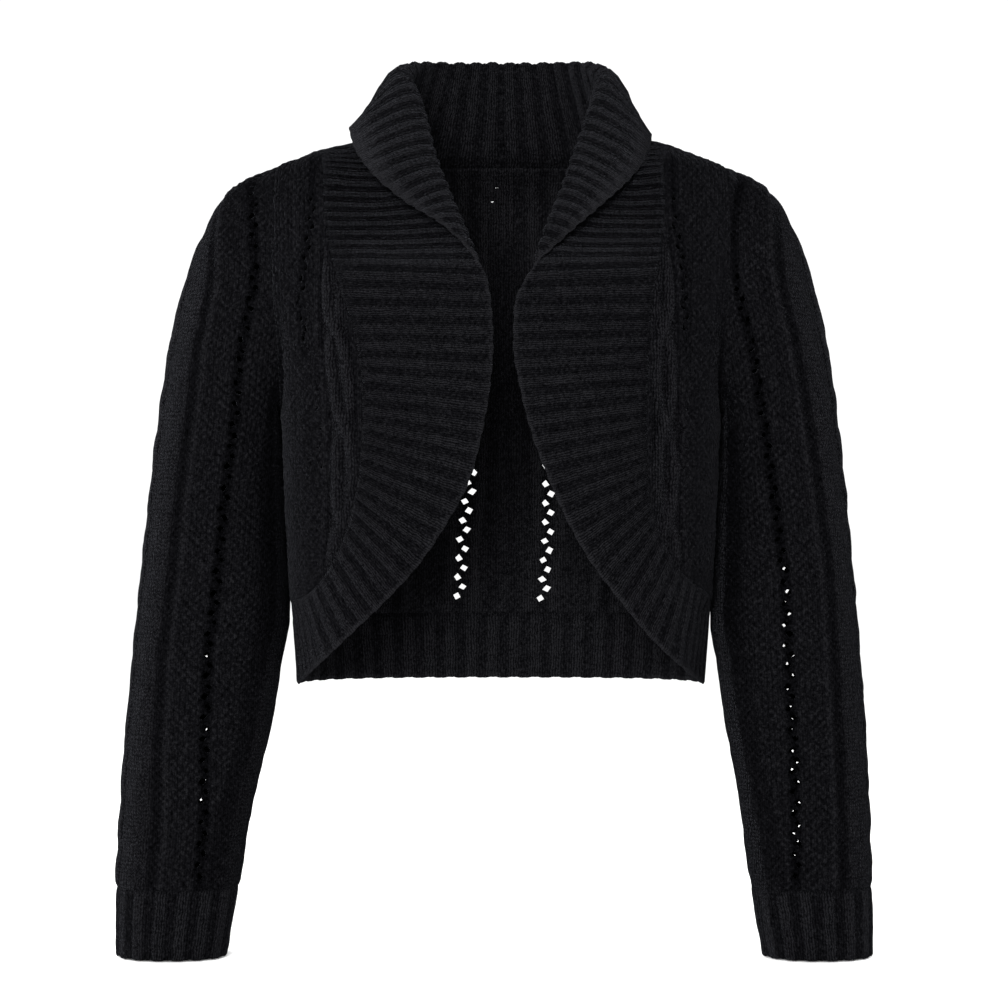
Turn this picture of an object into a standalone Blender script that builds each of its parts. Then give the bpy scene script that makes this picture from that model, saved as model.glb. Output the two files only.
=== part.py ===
"""Knitted shrug: a cropped, open-fronted cardigan in thick wool, filled out as when worn.

Nine knitted pieces, each one closed solid with the thickness of the knit:
  back, back_hem_rib, front_left, front_right, sleeve_left, sleeve_right,
  cuff_left, cuff_right and collar_band (lower fronts, front edges and shawl
  collar in one ribbed strip).

Lengths are in millimetres until a mesh is made. X runs to the wearer's left
sleeve, which is named sleeve_right here for the right of a front view, -Y is
the front and +Z is up. The origin lies between the tops of the two shoulders.

"turn" is the angle round the body: 0 at the centre front, a quarter turn at
the side seam on +X, half a turn at the centre back. Every table has one row
for a section, a seam point or a fold, and its columns are named above it.
"""

import math

import bmesh
import bpy
import numpy as np

MM = 0.001
WALL = 3.0  # thickness of the knit
SEAM_GAP = 0.3  # between two pieces that are sewn together
MOST_MITRE = 2.0  # how far a seam may reach where two pieces fold sharply
SIDE_Y = 6.0  # the side and shoulder seams lie in this plane
BODY_SQUARENESS = 2.6
SLEEVE_SQUARENESS = 2.15
QUARTER = math.pi / 2
EDGE_SHARE = 0.5  # the back's edges shape this much of its width from either side
EDGE_EASE = 1.2
EVEN_SHARE = 0.3  # how far its rows are spaced evenly, not as at its edges

ARMHOLE_SEGMENTS = 12  # on each of its two halves
SIDE_SEGMENTS = 6
SHOULDER_SEGMENTS = 3
NECK_SEGMENTS = 9  # on each half of the back neck
SLEEVE_RINGS = 17
BAND_COLUMNS = 12
WOOL_COLOUR = (0.012, 0.012, 0.014, 1.0)

# Outer face of the body: width to either side, and depth before and behind
# the side seams.
BODY_COLUMNS = ("z", "half_width", "front_depth", "back_depth")
BODY = (
    (22.0, 100.0, 4.0, 4.0),  # above the shoulders, for the form only
    (8.0, 124.0, 40.0, 50.0),
    (1.6, 137.5, 49.6, 61.0),  # inner end of the shoulder seam
    (-4.6, 151.5, 57.4, 70.0),  # back neck
    (-11.0, 165.5, 64.4, 78.0),  # top of the armhole
    (-17.0, 173.0, 70.0, 84.0),
    (-30.0, 178.0, 81.0, 94.0),
    (-50.0, 181.5, 93.5, 102.0),
    (-80.0, 183.0, 106.0, 106.0),
    (-110.0, 183.0, 112.0, 106.0),
    (-150.0, 179.0, 113.0, 104.0),
    (-203.0, 172.0, 112.0, 98.0),  # underarm
    (-280.0, 168.5, 104.0, 91.0),
    (-354.0, 164.0, 98.0, 88.0),  # point of the front panels
    (-417.0, 159.5, 96.0, 88.0),  # hem
)
RIB_TOP_Z = -364.0
HEM_Z = -417.0

# The armhole is an egg round the shoulder.
ARMHOLE = {"top": -13.0, "bottom": -203.0, "front": 50.0, "back": 56.0}

# Sleeve sections. Each lies in a plane through its outer and inner point,
# with a depth before and behind its own centre. The two sleeves don't hang
# quite alike: "spread" is added on -X and taken off on +X. "keep" is how much
# of the armhole's own unevenness the section still has.
SLEEVE_COLUMNS = (
    "outer_x", "outer_z", "inner_x", "inner_z", "front", "back", "centre_y",
    "outer_spread", "inner_spread", "keep",
)
SLEEVE = (
    (168.8, -13.0, 171.5, -203.0, 50.0, 56.0, 6.0, 0.0, 0.0, 1.00),  # armhole
    (190.5, -19.5, 174.8, -209.5, 53.0, 57.0, 8.0, 0.8, 0.0, 0.60),
    (214.0, -34.4, 174.6, -216.5, 56.0, 58.0, 11.0, 1.2, 0.0, 0.25),  # shoulder cap
    (231.3, -66.0, 173.9, -226.0, 57.0, 57.5, 14.0, 1.4, 0.0, 0.08),
    (245.3, -105.0, 172.6, -240.0, 56.0, 56.0, 16.5, 1.8, 0.0, 0.0),
    (256.3, -150.0, 171.4, -256.0, 54.0, 54.5, 19.0, 2.0, 0.0, 0.0),
    (264.3, -200.0, 170.2, -276.0, 52.0, 52.5, 21.0, 2.3, 0.0, 0.0),
    (270.6, -250.0, 168.8, -303.0, 50.5, 51.0, 22.0, 2.5, 0.0, 0.0),
    (276.3, -303.0, 166.8, -335.0, 49.5, 50.0, 22.0, 2.8, 0.2, 0.0),
    (281.3, -356.0, 165.4, -370.0, 49.0, 49.5, 20.0, 3.2, 1.0, 0.0),  # elbow
    (285.5, -408.0, 170.0, -408.0, 48.0, 48.5, 16.5, 3.6, 1.6, 0.0),
    (288.8, -455.0, 178.6, -455.0, 46.0, 46.0, 11.0, 4.1, 2.2, 0.0),
    (291.2, -507.0, 189.2, -507.0, 43.0, 43.0, 4.0, 4.8, 3.5, 0.0),
    (292.6, -546.0, 194.6, -546.0, 39.5, 39.5, -1.0, 5.1, 4.4, 0.0),
    (293.4, -573.0, 199.2, -573.0, 37.0, 37.0, -5.0, 5.4, 4.8, 0.0),  # top of the cuff
    (293.8, -600.0, 203.6, -600.0, 35.0, 35.0, -8.0, 5.4, 4.9, 0.0),
    (293.2, -626.0, 208.0, -626.0, 33.0, 33.0, -11.0, 5.2, 4.8, 0.0),  # end of the cuff
)
CUFF_ROW = 14  # the row of SLEEVE at which the cuff is sewn on
CUFF_SEGMENTS = 4

# Large folds of the sleeves: soft troughs, as places along the sleeve (0 to 1)
# and angles round it in degrees (0 outside, 90 front, 180 next to the body).
FOLD_COLUMNS = ("along", "angle", "depth", "length", "width")
SLEEVE_FOLDS = (
    (0.20, 128.0, 4.5, 0.075, 20.0),  # drag line from the underarm, in front
    (0.31, 112.0, 2.5, 0.050, 30.0),
    (0.22, 232.0, 4.5, 0.080, 20.0),  # and behind
    (0.57, 150.0, 3.0, 0.035, 34.0),  # inside of the elbow
    (0.65, 138.0, 2.5, 0.030, 38.0),
    (0.61, 215.0, 2.5, 0.032, 34.0),
    (0.84, 150.0, 2.0, 0.028, 36.0),  # where the sleeve meets the cuff
)

# The strip that makes the collar and the bands, one table for each side, from
# the centre back round the neck to where the collar's free edge runs into the
# front edge. The seam point is given by how far out and how high it is, and
# lies on the body. Roll is where the standing part turns over, and edge is
# the free edge of the part that falls. "hollow" is how far the standing part
# sinks below a straight line, "radius" that of the turn.
COLLAR_COLUMNS = (
    "seam_x", "seam_z", "roll_x", "roll_y", "roll_z",
    "edge_x", "edge_y", "edge_z", "hollow", "radius",
)
COLLAR = {
    "left": (
        (0.0, -4.0, 0.0, 70.0, 70.5, 0.0, 99.0, 12.0, 3.0, 7.0),  # centre back
        (62.0, -4.4, 42.0, 65.0, 70.0, 48.0, 94.0, 12.5, 3.5, 7.0),
        (104.0, -4.0, 67.5, 47.0, 64.0, 90.0, 76.0, 13.0, 5.0, 7.5),
        (129.0, -2.0, 72.5, 28.0, 52.5, 112.5, 45.0, 16.0, 7.0, 8.5),
        (137.0, 1.8, 68.5, 8.0, 33.0, 119.0, 10.0, 18.0, 8.0, 8.5),  # shoulder
        (138.0, -8.0, 63.0, -13.0, 10.0, 114.5, -20.0, 1.0, 9.0, 7.0),
        (136.7, -18.5, 58.0, -33.0, -13.0, 102.0, -50.0, -20.0, 8.0, 6.5),
        (134.7, -48.0, 46.0, -58.0, -42.0, 72.0, -78.0, -48.5, 6.0, 5.5),
        (131.0, -76.4, 29.0, -84.0, -75.0, 41.5, -96.0, -69.0, 3.0, 3.5),
    ),
    "right": (
        (0.0, -4.0, 0.0, 70.0, 70.5, 0.0, 99.0, 12.0, 3.0, 7.0),  # centre back
        (58.0, -4.4, 42.0, 65.0, 70.0, 48.0, 94.0, 12.5, 3.5, 7.0),
        (98.0, -4.0, 68.5, 47.0, 64.0, 89.0, 76.0, 12.0, 5.0, 7.5),
        (121.0, -1.0, 76.0, 28.0, 52.5, 112.0, 45.0, 12.0, 7.0, 8.0),
        (130.0, 5.4, 75.0, 8.0, 33.0, 118.0, 9.0, 12.5, 8.0, 8.0),  # shoulder
        (127.0, -6.0, 70.5, -13.0, 10.0, 115.0, -22.0, -4.0, 9.0, 7.0),
        (124.7, -19.1, 64.0, -33.0, -13.0, 100.0, -54.0, -27.0, 8.0, 6.5),
        (124.8, -48.5, 52.5, -58.0, -42.0, 77.0, -80.0, -50.0, 6.0, 5.5),
        (121.9, -76.7, 36.0, -84.0, -75.0, 47.5, -97.0, -77.0, 3.0, 3.5),
    ),
}

# The band below that point lies flat on the body, from its seam to the front
# edge, and each row is one knitted rib.
BAND_COLUMNS_NAMED = ("seam_x", "seam_z", "edge_x", "edge_z")
BAND = {
    "left": (
        (125.0, -102.0, 10.0, -107.0),
        (117.0, -127.0, 6.5, -130.0),
        (109.0, -154.0, 5.2, -157.0),
        (105.0, -182.0, 8.0, -191.0),
        (104.0, -211.0, 14.5, -227.0),
        (105.0, -231.0, 22.5, -257.0),
        (108.0, -258.0, 41.0, -292.0),
        (111.5, -276.0, 60.0, -320.0),
        (118.5, -300.0, 83.5, -346.0),
        (136.5, -333.0, 112.0, -373.0),
        (150.5, -346.0, 136.0, -395.5),
    ),
    "right": (
        (118.0, -102.0, 18.3, -107.0),
        (114.0, -127.0, 9.5, -129.0),
        (112.0, -153.0, 8.8, -157.0),
        (111.0, -182.0, 14.0, -190.0),
        (109.5, -211.0, 23.0, -225.0),
        (110.0, -233.0, 34.0, -254.0),
        (111.0, -258.0, 50.0, -290.0),
        (113.5, -275.0, 66.0, -318.0),
        (120.5, -297.0, 88.0, -347.0),
        (136.5, -326.0, 115.0, -379.0),
        (147.5, -336.0, 136.0, -398.5),
    ),
}
BAND_END = {"seam_z": -354.0, "edge_z": HEM_Z}  # both on the side seam
# How far along a rib each of the strip's nine control lines lies on the body.
BAND_SPACING = (0.0, 0.17, 0.34, 0.5, 0.63, 0.74, 0.83, 0.92, 1.0)
# The same where the collar's fall begins, and how many rows it takes to even out.
ROLL_SPACING = (0.0, 0.25, 0.49, 0.71, 0.88, 0.93, 0.95, 0.975, 1.0)
ROLL_ROWS = 3
FALL_BULGE = 0.09  # the falling part curves out by this part of its depth
FRONT_TIP = 0.12  # the front panel stops this part of a segment before its point


def smooth(xs, ys, at):
    """A curve through the points that never swings past them (monotone cubic)."""
    xs, ys = np.asarray(xs, float), np.asarray(ys, float)
    step = np.diff(xs)
    slope = np.diff(ys) / step
    tangent = np.empty_like(ys)
    tangent[0], tangent[-1] = slope[0], slope[-1]
    for k in range(1, len(xs) - 1):
        if slope[k - 1] * slope[k] <= 0:
            tangent[k] = 0.0
        else:
            before, after = 2 * step[k] + step[k - 1], step[k] + 2 * step[k - 1]
            tangent[k] = (before + after) / (before / slope[k - 1] + after / slope[k])
    at = np.clip(np.asarray(at, float), xs[0], xs[-1])
    k = np.clip(np.searchsorted(xs, at, side="right") - 1, 0, len(xs) - 2)
    t = (at - xs[k]) / step[k]
    return (
        ys[k] * (1 + 2 * t) * (1 - t) ** 2
        + tangent[k] * step[k] * t * (1 - t) ** 2
        + ys[k + 1] * t**2 * (3 - 2 * t)
        + tangent[k + 1] * step[k] * t**2 * (t - 1)
    )


def smooth_columns(xs, rows, at):
    """The same for every column of a table, or every coordinate of a row of points."""
    rows = np.asarray(rows, float)
    flat = rows.reshape(len(rows), -1)
    out = np.stack([smooth(xs, column, at) for column in flat.T], axis=-1)
    return out.reshape(np.shape(at) + rows.shape[1:])


def unit(vectors):
    length = np.linalg.norm(vectors, axis=-1, keepdims=True)
    return vectors / np.maximum(length, 1e-9)


def lengths(points):
    """Distance along a line of points, from 0 at the first to 1 at the last."""
    run = np.concatenate([[0.0], np.cumsum(np.linalg.norm(np.diff(points, axis=0), axis=1))])
    return run / run[-1]


# ---------------------------------------------------------------- the body

BODY_TABLE = np.array(BODY)


def body_section(z):
    return [smooth(-BODY_TABLE[:, 0], BODY_TABLE[:, c], -np.asarray(z, float)) for c in (1, 2, 3)]


def body_face(turn, z):
    """A point on the outer face of the body."""
    turn, z = np.broadcast_arrays(np.asarray(turn, float), np.asarray(z, float))
    width, front, back = body_section(z)
    across, ahead = np.sin(turn), np.cos(turn)
    round_off = (np.abs(across) ** BODY_SQUARENESS + np.abs(ahead) ** BODY_SQUARENESS) ** (
        1 / BODY_SQUARENESS
    )
    depth = np.where(ahead > 0, front, back)
    return np.stack(
        [width * across / round_off, SIDE_Y - depth * ahead / round_off, z], axis=-1
    )


def body_out(turn, z):
    """The direction straight out of the body at a point."""
    turn, z = np.broadcast_arrays(np.asarray(turn, float), np.asarray(z, float))
    along = body_face(turn + 1e-3, z) - body_face(turn - 1e-3, z)
    up = body_face(turn, z + 0.5) - body_face(turn, z - 0.5)
    return unit(np.cross(along, up))


def body_middle(turn, z):
    """A point halfway through the cloth of the body."""
    return body_face(turn, z) - 0.5 * WALL * body_out(turn, z)


def turn_at(x, z, behind=False):
    """The angle round the body of the point this far out at this height."""
    width, _, _ = body_section(z)
    out = np.clip(np.abs(x) / width, 0, 1)
    ahead = (1 - out**BODY_SQUARENESS) ** (1 / BODY_SQUARENESS)
    angle = np.arctan2(out, ahead)
    return np.pi - angle if behind else angle


def armhole_half(which, count):
    """(turn, z) from the top of the armhole to the underarm, on +X."""
    angle = np.linspace(0, np.pi, count + 1)
    middle = (ARMHOLE["top"] + ARMHOLE["bottom"]) / 2
    half = (ARMHOLE["top"] - ARMHOLE["bottom"]) / 2
    z = middle + half * np.cos(angle)
    _, front, back = body_section(z)
    depth = front if which == "front" else back
    ahead = np.clip(ARMHOLE[which] * np.sin(angle) / depth, 0, 1)
    out = (1 - ahead**BODY_SQUARENESS) ** (1 / BODY_SQUARENESS)
    turn = np.arctan2(out, ahead)
    return np.stack([turn if which == "front" else np.pi - turn, z], axis=-1)


def side_seam(top, bottom, count):
    z = np.linspace(top, bottom, count + 1)
    return np.stack([np.full_like(z, QUARTER), z], axis=-1)


def shoulder_seam(side):
    """(turn, z) from the neck to the top of the armhole."""
    z = np.linspace(COLLAR[side][4][1], ARMHOLE["top"], SHOULDER_SEGMENTS + 1)
    return np.stack([np.full_like(z, QUARTER), z], axis=-1)


def across_patch(top, bottom, first, last):
    """Rows from edge to edge, even in the middle and meeting the edges' own points."""
    rows, columns = len(first), len(top)
    v = np.linspace(0, 1, rows)[:, None, None]
    u = np.linspace(0, 1, columns)[None, :, None]
    fall = (first[:, 1] + last[:, 1]) / 2
    fall = ((fall[0] - fall) / (fall[0] - fall[-1]))[:, None, None]
    v = EVEN_SHARE * v + (1 - EVEN_SHARE) * fall
    even = (1 - v) * top[None] + v * bottom[None]
    near_first = np.clip(1 - u / EDGE_SHARE, 0, 1) ** EDGE_EASE
    near_last = np.clip(1 - (1 - u) / EDGE_SHARE, 0, 1) ** EDGE_EASE
    return (
        even
        + near_first * (first[:, None] - even[:, :1])
        + near_last * (last[:, None] - even[:, -1:])
    )


def patch(top, bottom, first, last):
    """A four-sided patch between its edges (Coons). first and last run downwards."""
    rows, columns = len(first), len(top)
    v = np.linspace(0, 1, rows)[:, None, None]
    u = np.linspace(0, 1, columns)[None, :, None]
    across = (1 - u) * first[:, None] + u * last[:, None]
    down = (1 - v) * top[None] + v * bottom[None]
    corners = (1 - v) * ((1 - u) * top[0] + u * top[-1]) + v * (
        (1 - u) * bottom[0] + u * bottom[-1]
    )
    return across + down - corners


# ------------------------------------------------- collar and front bands


def band_rows(side):
    """The strip's nine control lines at each row of the two tables, on +X."""
    rows = []
    seam = []
    body_turns = []
    for k, row in enumerate(COLLAR[side]):
        turn = QUARTER if k == 4 else float(turn_at(row[0], row[1], behind=k < 4))
        seam.append((turn, row[1]))
    for row in BAND[side]:
        seam.append((float(turn_at(row[0], row[1])), row[1]))
        body_turns.append((float(turn_at(row[2], row[3])), row[3]))
    seam.append((QUARTER, BAND_END["seam_z"]))
    body_turns.append((QUARTER, BAND_END["edge_z"]))
    seam = np.array(seam)
    seam_points = body_middle(seam[:, 0], seam[:, 1])
    collar = np.array(COLLAR[side])
    roll, edge = collar[:, 2:5], collar[:, 5:8]
    rolled = np.vstack([roll, body_middle(*body_turns[0])[None]])
    first_on_band = len(collar)
    for k in range(first_on_band):
        start, turn_over, end = seam_points[k], roll[k], edge[k]
        if k == 0:
            along = np.array([1.0, 0.0, 0.0])
        else:
            along = (seam_points[k + 1] - seam_points[k - 1]) + (rolled[k + 1] - rolled[k - 1])
        out = unit(np.cross(turn_over - start, along))
        middle = (start + turn_over) / 2
        if np.dot(out, middle - np.array([0.0, SIDE_Y, -150.0])) < 0:
            out = -out
        hollow, radius = collar[k, 8], collar[k, 9]
        bend = start + 0.55 * (turn_over - start) - 2 * hollow * out
        lean = unit(turn_over - bend)
        rows.append(
            [
                (1 - t) ** 2 * start + 2 * t * (1 - t) * bend + t**2 * turn_over
                for t in (0.0, 0.28, 0.54, 0.78, 1.0)
            ]
            + [
                turn_over + radius * lean,
                turn_over + radius * lean + 2 * radius * out,
                0.5 * (turn_over + 2.1 * radius * out)
                + 0.5 * end
                + FALL_BULGE * np.linalg.norm(end - turn_over) * out,
                end,
            ]
        )
    for k, (edge_turn, edge_z) in enumerate(body_turns):
        from_turn, from_z = seam[first_on_band + k]
        flat = min(1.0, k / ROLL_ROWS)
        part = flat * np.array(BAND_SPACING) + (1 - flat) * np.array(ROLL_SPACING)
        rows.append(
            body_middle(
                from_turn + part * (edge_turn - from_turn), from_z + part * (edge_z - from_z)
            )
        )
    return seam, np.array(rows)


def spline_weights(at, controls):
    """Weights of a clamped quadratic B-spline's control points, one row for each place."""
    spans = controls - 2
    knots = np.concatenate([[0, 0], np.arange(spans + 1), [spans, spans]]).astype(float)
    at = np.clip(np.asarray(at, float), 0, spans - 1e-9)
    base = [((at >= knots[k]) & (at < knots[k + 1])).astype(float) for k in range(len(knots) - 1)]
    for degree in (1, 2):
        raised = []
        for k in range(len(base) - 1):
            left_span = knots[k + degree] - knots[k]
            right_span = knots[k + degree + 1] - knots[k + 1]
            value = np.zeros_like(at)
            if left_span > 0:
                value = value + (at - knots[k]) / left_span * base[k]
            if right_span > 0:
                value = value + (knots[k + degree + 1] - at) / right_span * base[k + 1]
            raised.append(value)
        base = raised
    return np.stack(base, axis=-1)


def band_stations(side):
    """Places along the tables: NECK_SEGMENTS behind the shoulder seam, the rest below it."""
    seam, rows = band_rows(side)
    run = lengths(0.6 * rows[:, 0] + 0.4 * rows[:, -1])
    front = ARMHOLE_SEGMENTS + SIDE_SEGMENTS
    places = np.concatenate(
        [
            np.linspace(run[0], run[4], NECK_SEGMENTS + 1)[:-1],
            np.linspace(run[4], run[-1], front + 1),
        ]
    )
    return seam, rows, run, places


def band_half(side):
    """(seam as turn and z, middle surface) at every station, from the centre back down."""
    seam, rows, run, places = band_stations(side)
    seam_line = smooth_columns(run, seam, places)
    seam_line[NECK_SEGMENTS, 0] = QUARTER
    controls = smooth_columns(run, rows, places)
    controls[:, 0] = body_middle(seam_line[:, 0], seam_line[:, 1])
    places_across = np.linspace(0, 1, BAND_COLUMNS + 1)
    across = 7 * (places_across + 0.055 * np.sin(2 * np.pi * places_across))
    weights = spline_weights(across, 9)
    return seam_line, np.einsum("ck,skx->scx", weights, controls)


# ------------------------------------------------------------- the sleeves


def sleeve_rings(side, first, last, count, segments):
    """Middle surface of a sleeve on +X between two rows of SLEEVE, count rings after the first."""
    table = np.array(SLEEVE)
    outer, inner = table[:, 0:2], table[:, 2:4]
    run = lengths((outer + inner) / 2 + 0.25 * outer)
    rows = smooth_columns(run, table, np.linspace(run[first], run[last], count + 1))
    places = np.linspace(run[first], run[last], count + 1)
    spread = 1 if side == "left" else -1
    angle = 2 * np.pi * np.arange(segments) / segments
    rim = armhole_ring(segments)
    rings = []
    for place, row in zip(places, rows):
        outer_x, outer_z, inner_x, inner_z, front, back, centre_y = row[:7]
        outer_spread, inner_spread, keep = row[7:]
        top = np.array([outer_x + spread * outer_spread, centre_y, outer_z])
        low = np.array([inner_x + spread * inner_spread, centre_y, inner_z])
        across, ahead = np.cos(angle), np.sin(angle)
        round_off = (
            np.abs(across) ** SLEEVE_SQUARENESS + np.abs(ahead) ** SLEEVE_SQUARENESS
        ) ** (1 / SLEEVE_SQUARENESS)
        across, ahead = across / round_off, ahead / round_off
        trough = np.zeros(segments)
        for along, degrees, depth, length, width in SLEEVE_FOLDS:
            apart = np.abs((np.degrees(angle) - degrees + 180) % 360 - 180)
            trough += depth * np.exp(-(((place - along) / length) ** 2) - (apart / width) ** 2)
        shrink = 1 - trough / 50.0
        depth = np.where(ahead >= 0, front, back) - WALL / 2
        half = (top - low) / 2 * (1 - WALL / 2 / np.linalg.norm((top - low) / 2))
        ring = (top + low) / 2 + (across * shrink)[:, None] * half
        ring[:, 1] -= depth * ahead * shrink
        if keep > 0:
            plain = (top + low) / 2 + np.cos(angle)[:, None] * half
            plain[:, 1] -= depth * np.sin(angle)
            ring = ring + keep * (rim - (plain if keep > 0.999 else ring_like(rim, ring)))
        rings.append(ring if keep < 0.999 else rim.copy())
    return np.array(rings)


def ring_like(rim, ring):
    """The armhole's rim moved and stretched to lie as flat as the given ring."""
    flat = rim.copy()
    span = rim[:, 2].max() - rim[:, 2].min()
    part = (rim[:, 2].max() - rim[:, 2]) / span
    flat[:, 0] = rim[0, 0] + part * (rim[len(rim) // 2, 0] - rim[0, 0])
    return flat


def armhole_ring(segments):
    """The armhole as points of the sleeve: top, front, underarm, back."""
    half = segments // 2
    front = armhole_half("front", half)
    back = armhole_half("back", half)[::-1]
    both = np.vstack([front, back[1:-1]])
    return body_middle(both[:, 0], both[:, 1])


def ring_out(rings, closed=True):
    """Directions straight out of a tube of rings that run from outside by the front."""
    if closed:
        around = np.roll(rings, -1, axis=1) - np.roll(rings, 1, axis=1)
    else:
        around = np.gradient(rings, axis=1)
    along = np.gradient(rings, axis=0)
    out = unit(np.cross(around, along))
    centre = rings.mean(axis=1, keepdims=True)
    if np.sum(out * (rings - centre)) < 0:
        out = -out
    return out


def shared(one, other):
    """The direction halfway between two pieces' own, and how far the cloth reaches along it."""
    both = unit(one + other)
    lean = np.clip(np.sum(both * one, axis=-1), 1 / MOST_MITRE, 1)
    return both, 1 / lean


# ------------------------------------------------------ from points to cloth


def clear_of_seam(points, out, row=None, column=None):
    """Moves one edge of a grid back by half the gap, square to the seam."""
    edge = (row, slice(None)) if row is not None else (slice(None), column)
    if row is not None:
        beside = (1 if row == 0 else -2, slice(None))
    else:
        beside = (slice(None), 1 if column == 0 else -2)
    along = unit(np.gradient(points[edge], axis=0))
    inward = unit(np.cross(out[edge], along))
    if np.sum(inward * (points[beside] - points[edge])) < 0:
        inward = -inward
    moved = points.copy()
    moved[edge] = points[edge] + inward * SEAM_GAP * 0.52
    return moved


def knit_material(name):
    material = bpy.data.materials.new(name)
    material.use_nodes = True
    shader = material.node_tree.nodes["Principled BSDF"]
    shader.inputs["Base Color"].default_value = WOOL_COLOUR
    shader.inputs["Roughness"].default_value = 0.95
    shader.inputs["Metallic"].default_value = 0.0
    return material


def cloth(name, middle, out, reach=None, tube=False):
    """One piece of knit from its middle surface: a grid bent to the points, thickened both ways."""
    rows, columns = middle.shape[:2]
    if reach is None:
        reach = np.ones((rows, columns))
    across = columns if tube else columns - 1
    build = bmesh.new()
    row_of = build.verts.layers.int.new("row")
    column_of = build.verts.layers.int.new("column")
    bmesh.ops.create_grid(build, x_segments=across, y_segments=rows - 1, size=0.5)
    for vertex in build.verts:
        column = round((vertex.co.x + 0.5) * across)
        vertex[column_of] = column % columns
        vertex[row_of] = round((vertex.co.y + 0.5) * (rows - 1))
        vertex.co = middle[vertex[row_of], vertex[column_of]] * MM
    if tube:
        bmesh.ops.remove_doubles(build, verts=build.verts, dist=1e-7)
    bmesh.ops.triangulate(build, faces=build.faces, quad_method="SHORT_EDGE")
    build.verts.index_update()
    place = [(vertex[row_of], vertex[column_of]) for vertex in build.verts]
    sheet = bpy.data.meshes.new(name)
    build.to_mesh(sheet)
    build.free()
    piece = bpy.data.objects.new(name, sheet)
    GARMENT.objects.link(piece)
    thicken = piece.modifiers.new("wall", "SOLIDIFY")
    thicken.thickness = WALL * MM
    thicken.offset = 0.0
    thicken.use_even_offset = False
    bpy.context.view_layer.update()
    graph = bpy.context.evaluated_depsgraph_get()
    solid = bpy.data.meshes.new_from_object(piece.evaluated_get(graph))
    piece.modifiers.remove(thicken)
    piece.data = solid
    solid.name = name
    # Both faces are set from the shared seam directions, so that two pieces'
    # rims lie side by side whatever angle they meet at.
    count = len(place)
    for vertex in solid.vertices:
        row, column = place[vertex.index % count]
        lift = 0.5 * WALL * reach[row, column] * (1 if vertex.index < count else -1)
        vertex.co = (middle[row, column] + lift * out[row, column]) * MM
    finish = bmesh.new()
    finish.from_mesh(solid)
    bmesh.ops.recalc_face_normals(finish, faces=finish.faces)
    finish.to_mesh(solid)
    finish.free()
    for face in solid.polygons:
        face.use_smooth = True
    solid.materials.clear()
    solid.materials.append(knit_material(name + "_wool"))
    return piece


def mirrored(points):
    return points * np.array([-1.0, 1.0, 1.0])


# ------------------------------------------------------------ the pieces


def front_panel(side):
    """The small front: shoulder seam, band seam, armhole and side seam."""
    seam_line, _ = band_half(side)
    inner = seam_line[NECK_SEGMENTS:].copy()
    inner[-1] = inner[-1] * (1 - FRONT_TIP) + inner[-2] * FRONT_TIP
    outer = np.vstack(
        [
            armhole_half("front", ARMHOLE_SEGMENTS),
            side_seam(ARMHOLE["bottom"], BAND_END["seam_z"], SIDE_SEGMENTS)[1:],
        ]
    )
    outer[-1, 1] = outer[-1, 1] + 2.0
    top = shoulder_seam(side)
    bottom = np.linspace(inner[-1], outer[-1], SHOULDER_SEGMENTS + 1)
    places = patch(top, bottom, inner, outer)
    return body_middle(places[..., 0], places[..., 1]), body_out(places[..., 0], places[..., 1])


def back_panel():
    """From +X to -X: level back neck, shoulders, armholes, sides down to the rib."""
    right_seam, _ = band_half("right")
    left_seam, _ = band_half("left")
    flip = np.array([[-1.0, 1.0]])
    full = np.array([[2 * np.pi, 0.0]])
    top = np.vstack(
        [right_seam[: NECK_SEGMENTS + 1][::-1], (left_seam[: NECK_SEGMENTS + 1] * flip + full)[1:]]
    )
    below = np.vstack(
        [
            armhole_half("back", ARMHOLE_SEGMENTS),
            side_seam(ARMHOLE["bottom"], RIB_TOP_Z, SIDE_SEGMENTS)[1:],
        ]
    )
    first = np.vstack([shoulder_seam("right"), below[1:]])
    last = np.vstack([shoulder_seam("left"), below[1:]]) * flip + full
    bottom = np.stack(
        [np.linspace(QUARTER, 3 * QUARTER, len(top)), np.full(len(top), RIB_TOP_Z)], axis=-1
    )
    places = across_patch(top, bottom, first, last)
    return (
        body_middle(places[..., 0], places[..., 1]),
        body_out(places[..., 0], places[..., 1]),
        bottom,
    )


def back_rib(top):
    rows = 4
    z = np.linspace(RIB_TOP_Z, HEM_Z, rows + 1)
    turn = np.repeat(top[None, :, 0], rows + 1, axis=0)
    height = np.repeat(z[:, None], len(top), axis=1)
    return body_middle(turn, height), body_out(turn, height)


def collar_and_bands():
    """The whole strip, from the side seam on -X over the neck to the side seam on +X."""
    _, right = band_half("right")
    _, left = band_half("left")
    strip = np.vstack([mirrored(left)[::-1], right[1:]])
    along = np.gradient(strip, axis=0)
    across = np.gradient(strip, axis=1)
    out = unit(np.cross(along, across))
    if out[len(out) // 2, 0, 1] < 0:
        out = -out
    return strip, out


def strip_seam_out(out):
    """At its seam the strip shares its direction with the body's panels."""
    right_seam, _ = band_half("right")
    left_seam, _ = band_half("left")
    body = np.vstack(
        [
            mirrored(body_out(left_seam[:, 0], left_seam[:, 1]))[::-1],
            body_out(right_seam[:, 0], right_seam[:, 1])[1:],
        ]
    )
    return shared(body, out[:, 0])


def blend_armhole(side):
    """Shared direction and reach round the armhole, as the sleeve's first ring has them."""
    rings = sleeve_rings(side, 0, CUFF_ROW, SLEEVE_RINGS, 2 * ARMHOLE_SEGMENTS)
    own = ring_out(rings)
    front = armhole_half("front", ARMHOLE_SEGMENTS)
    back = armhole_half("back", ARMHOLE_SEGMENTS)[::-1]
    both = np.vstack([front, back[1:-1]])
    direction, reach = shared(body_out(both[:, 0], both[:, 1]), own[0])
    return rings, own, direction, reach


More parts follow.
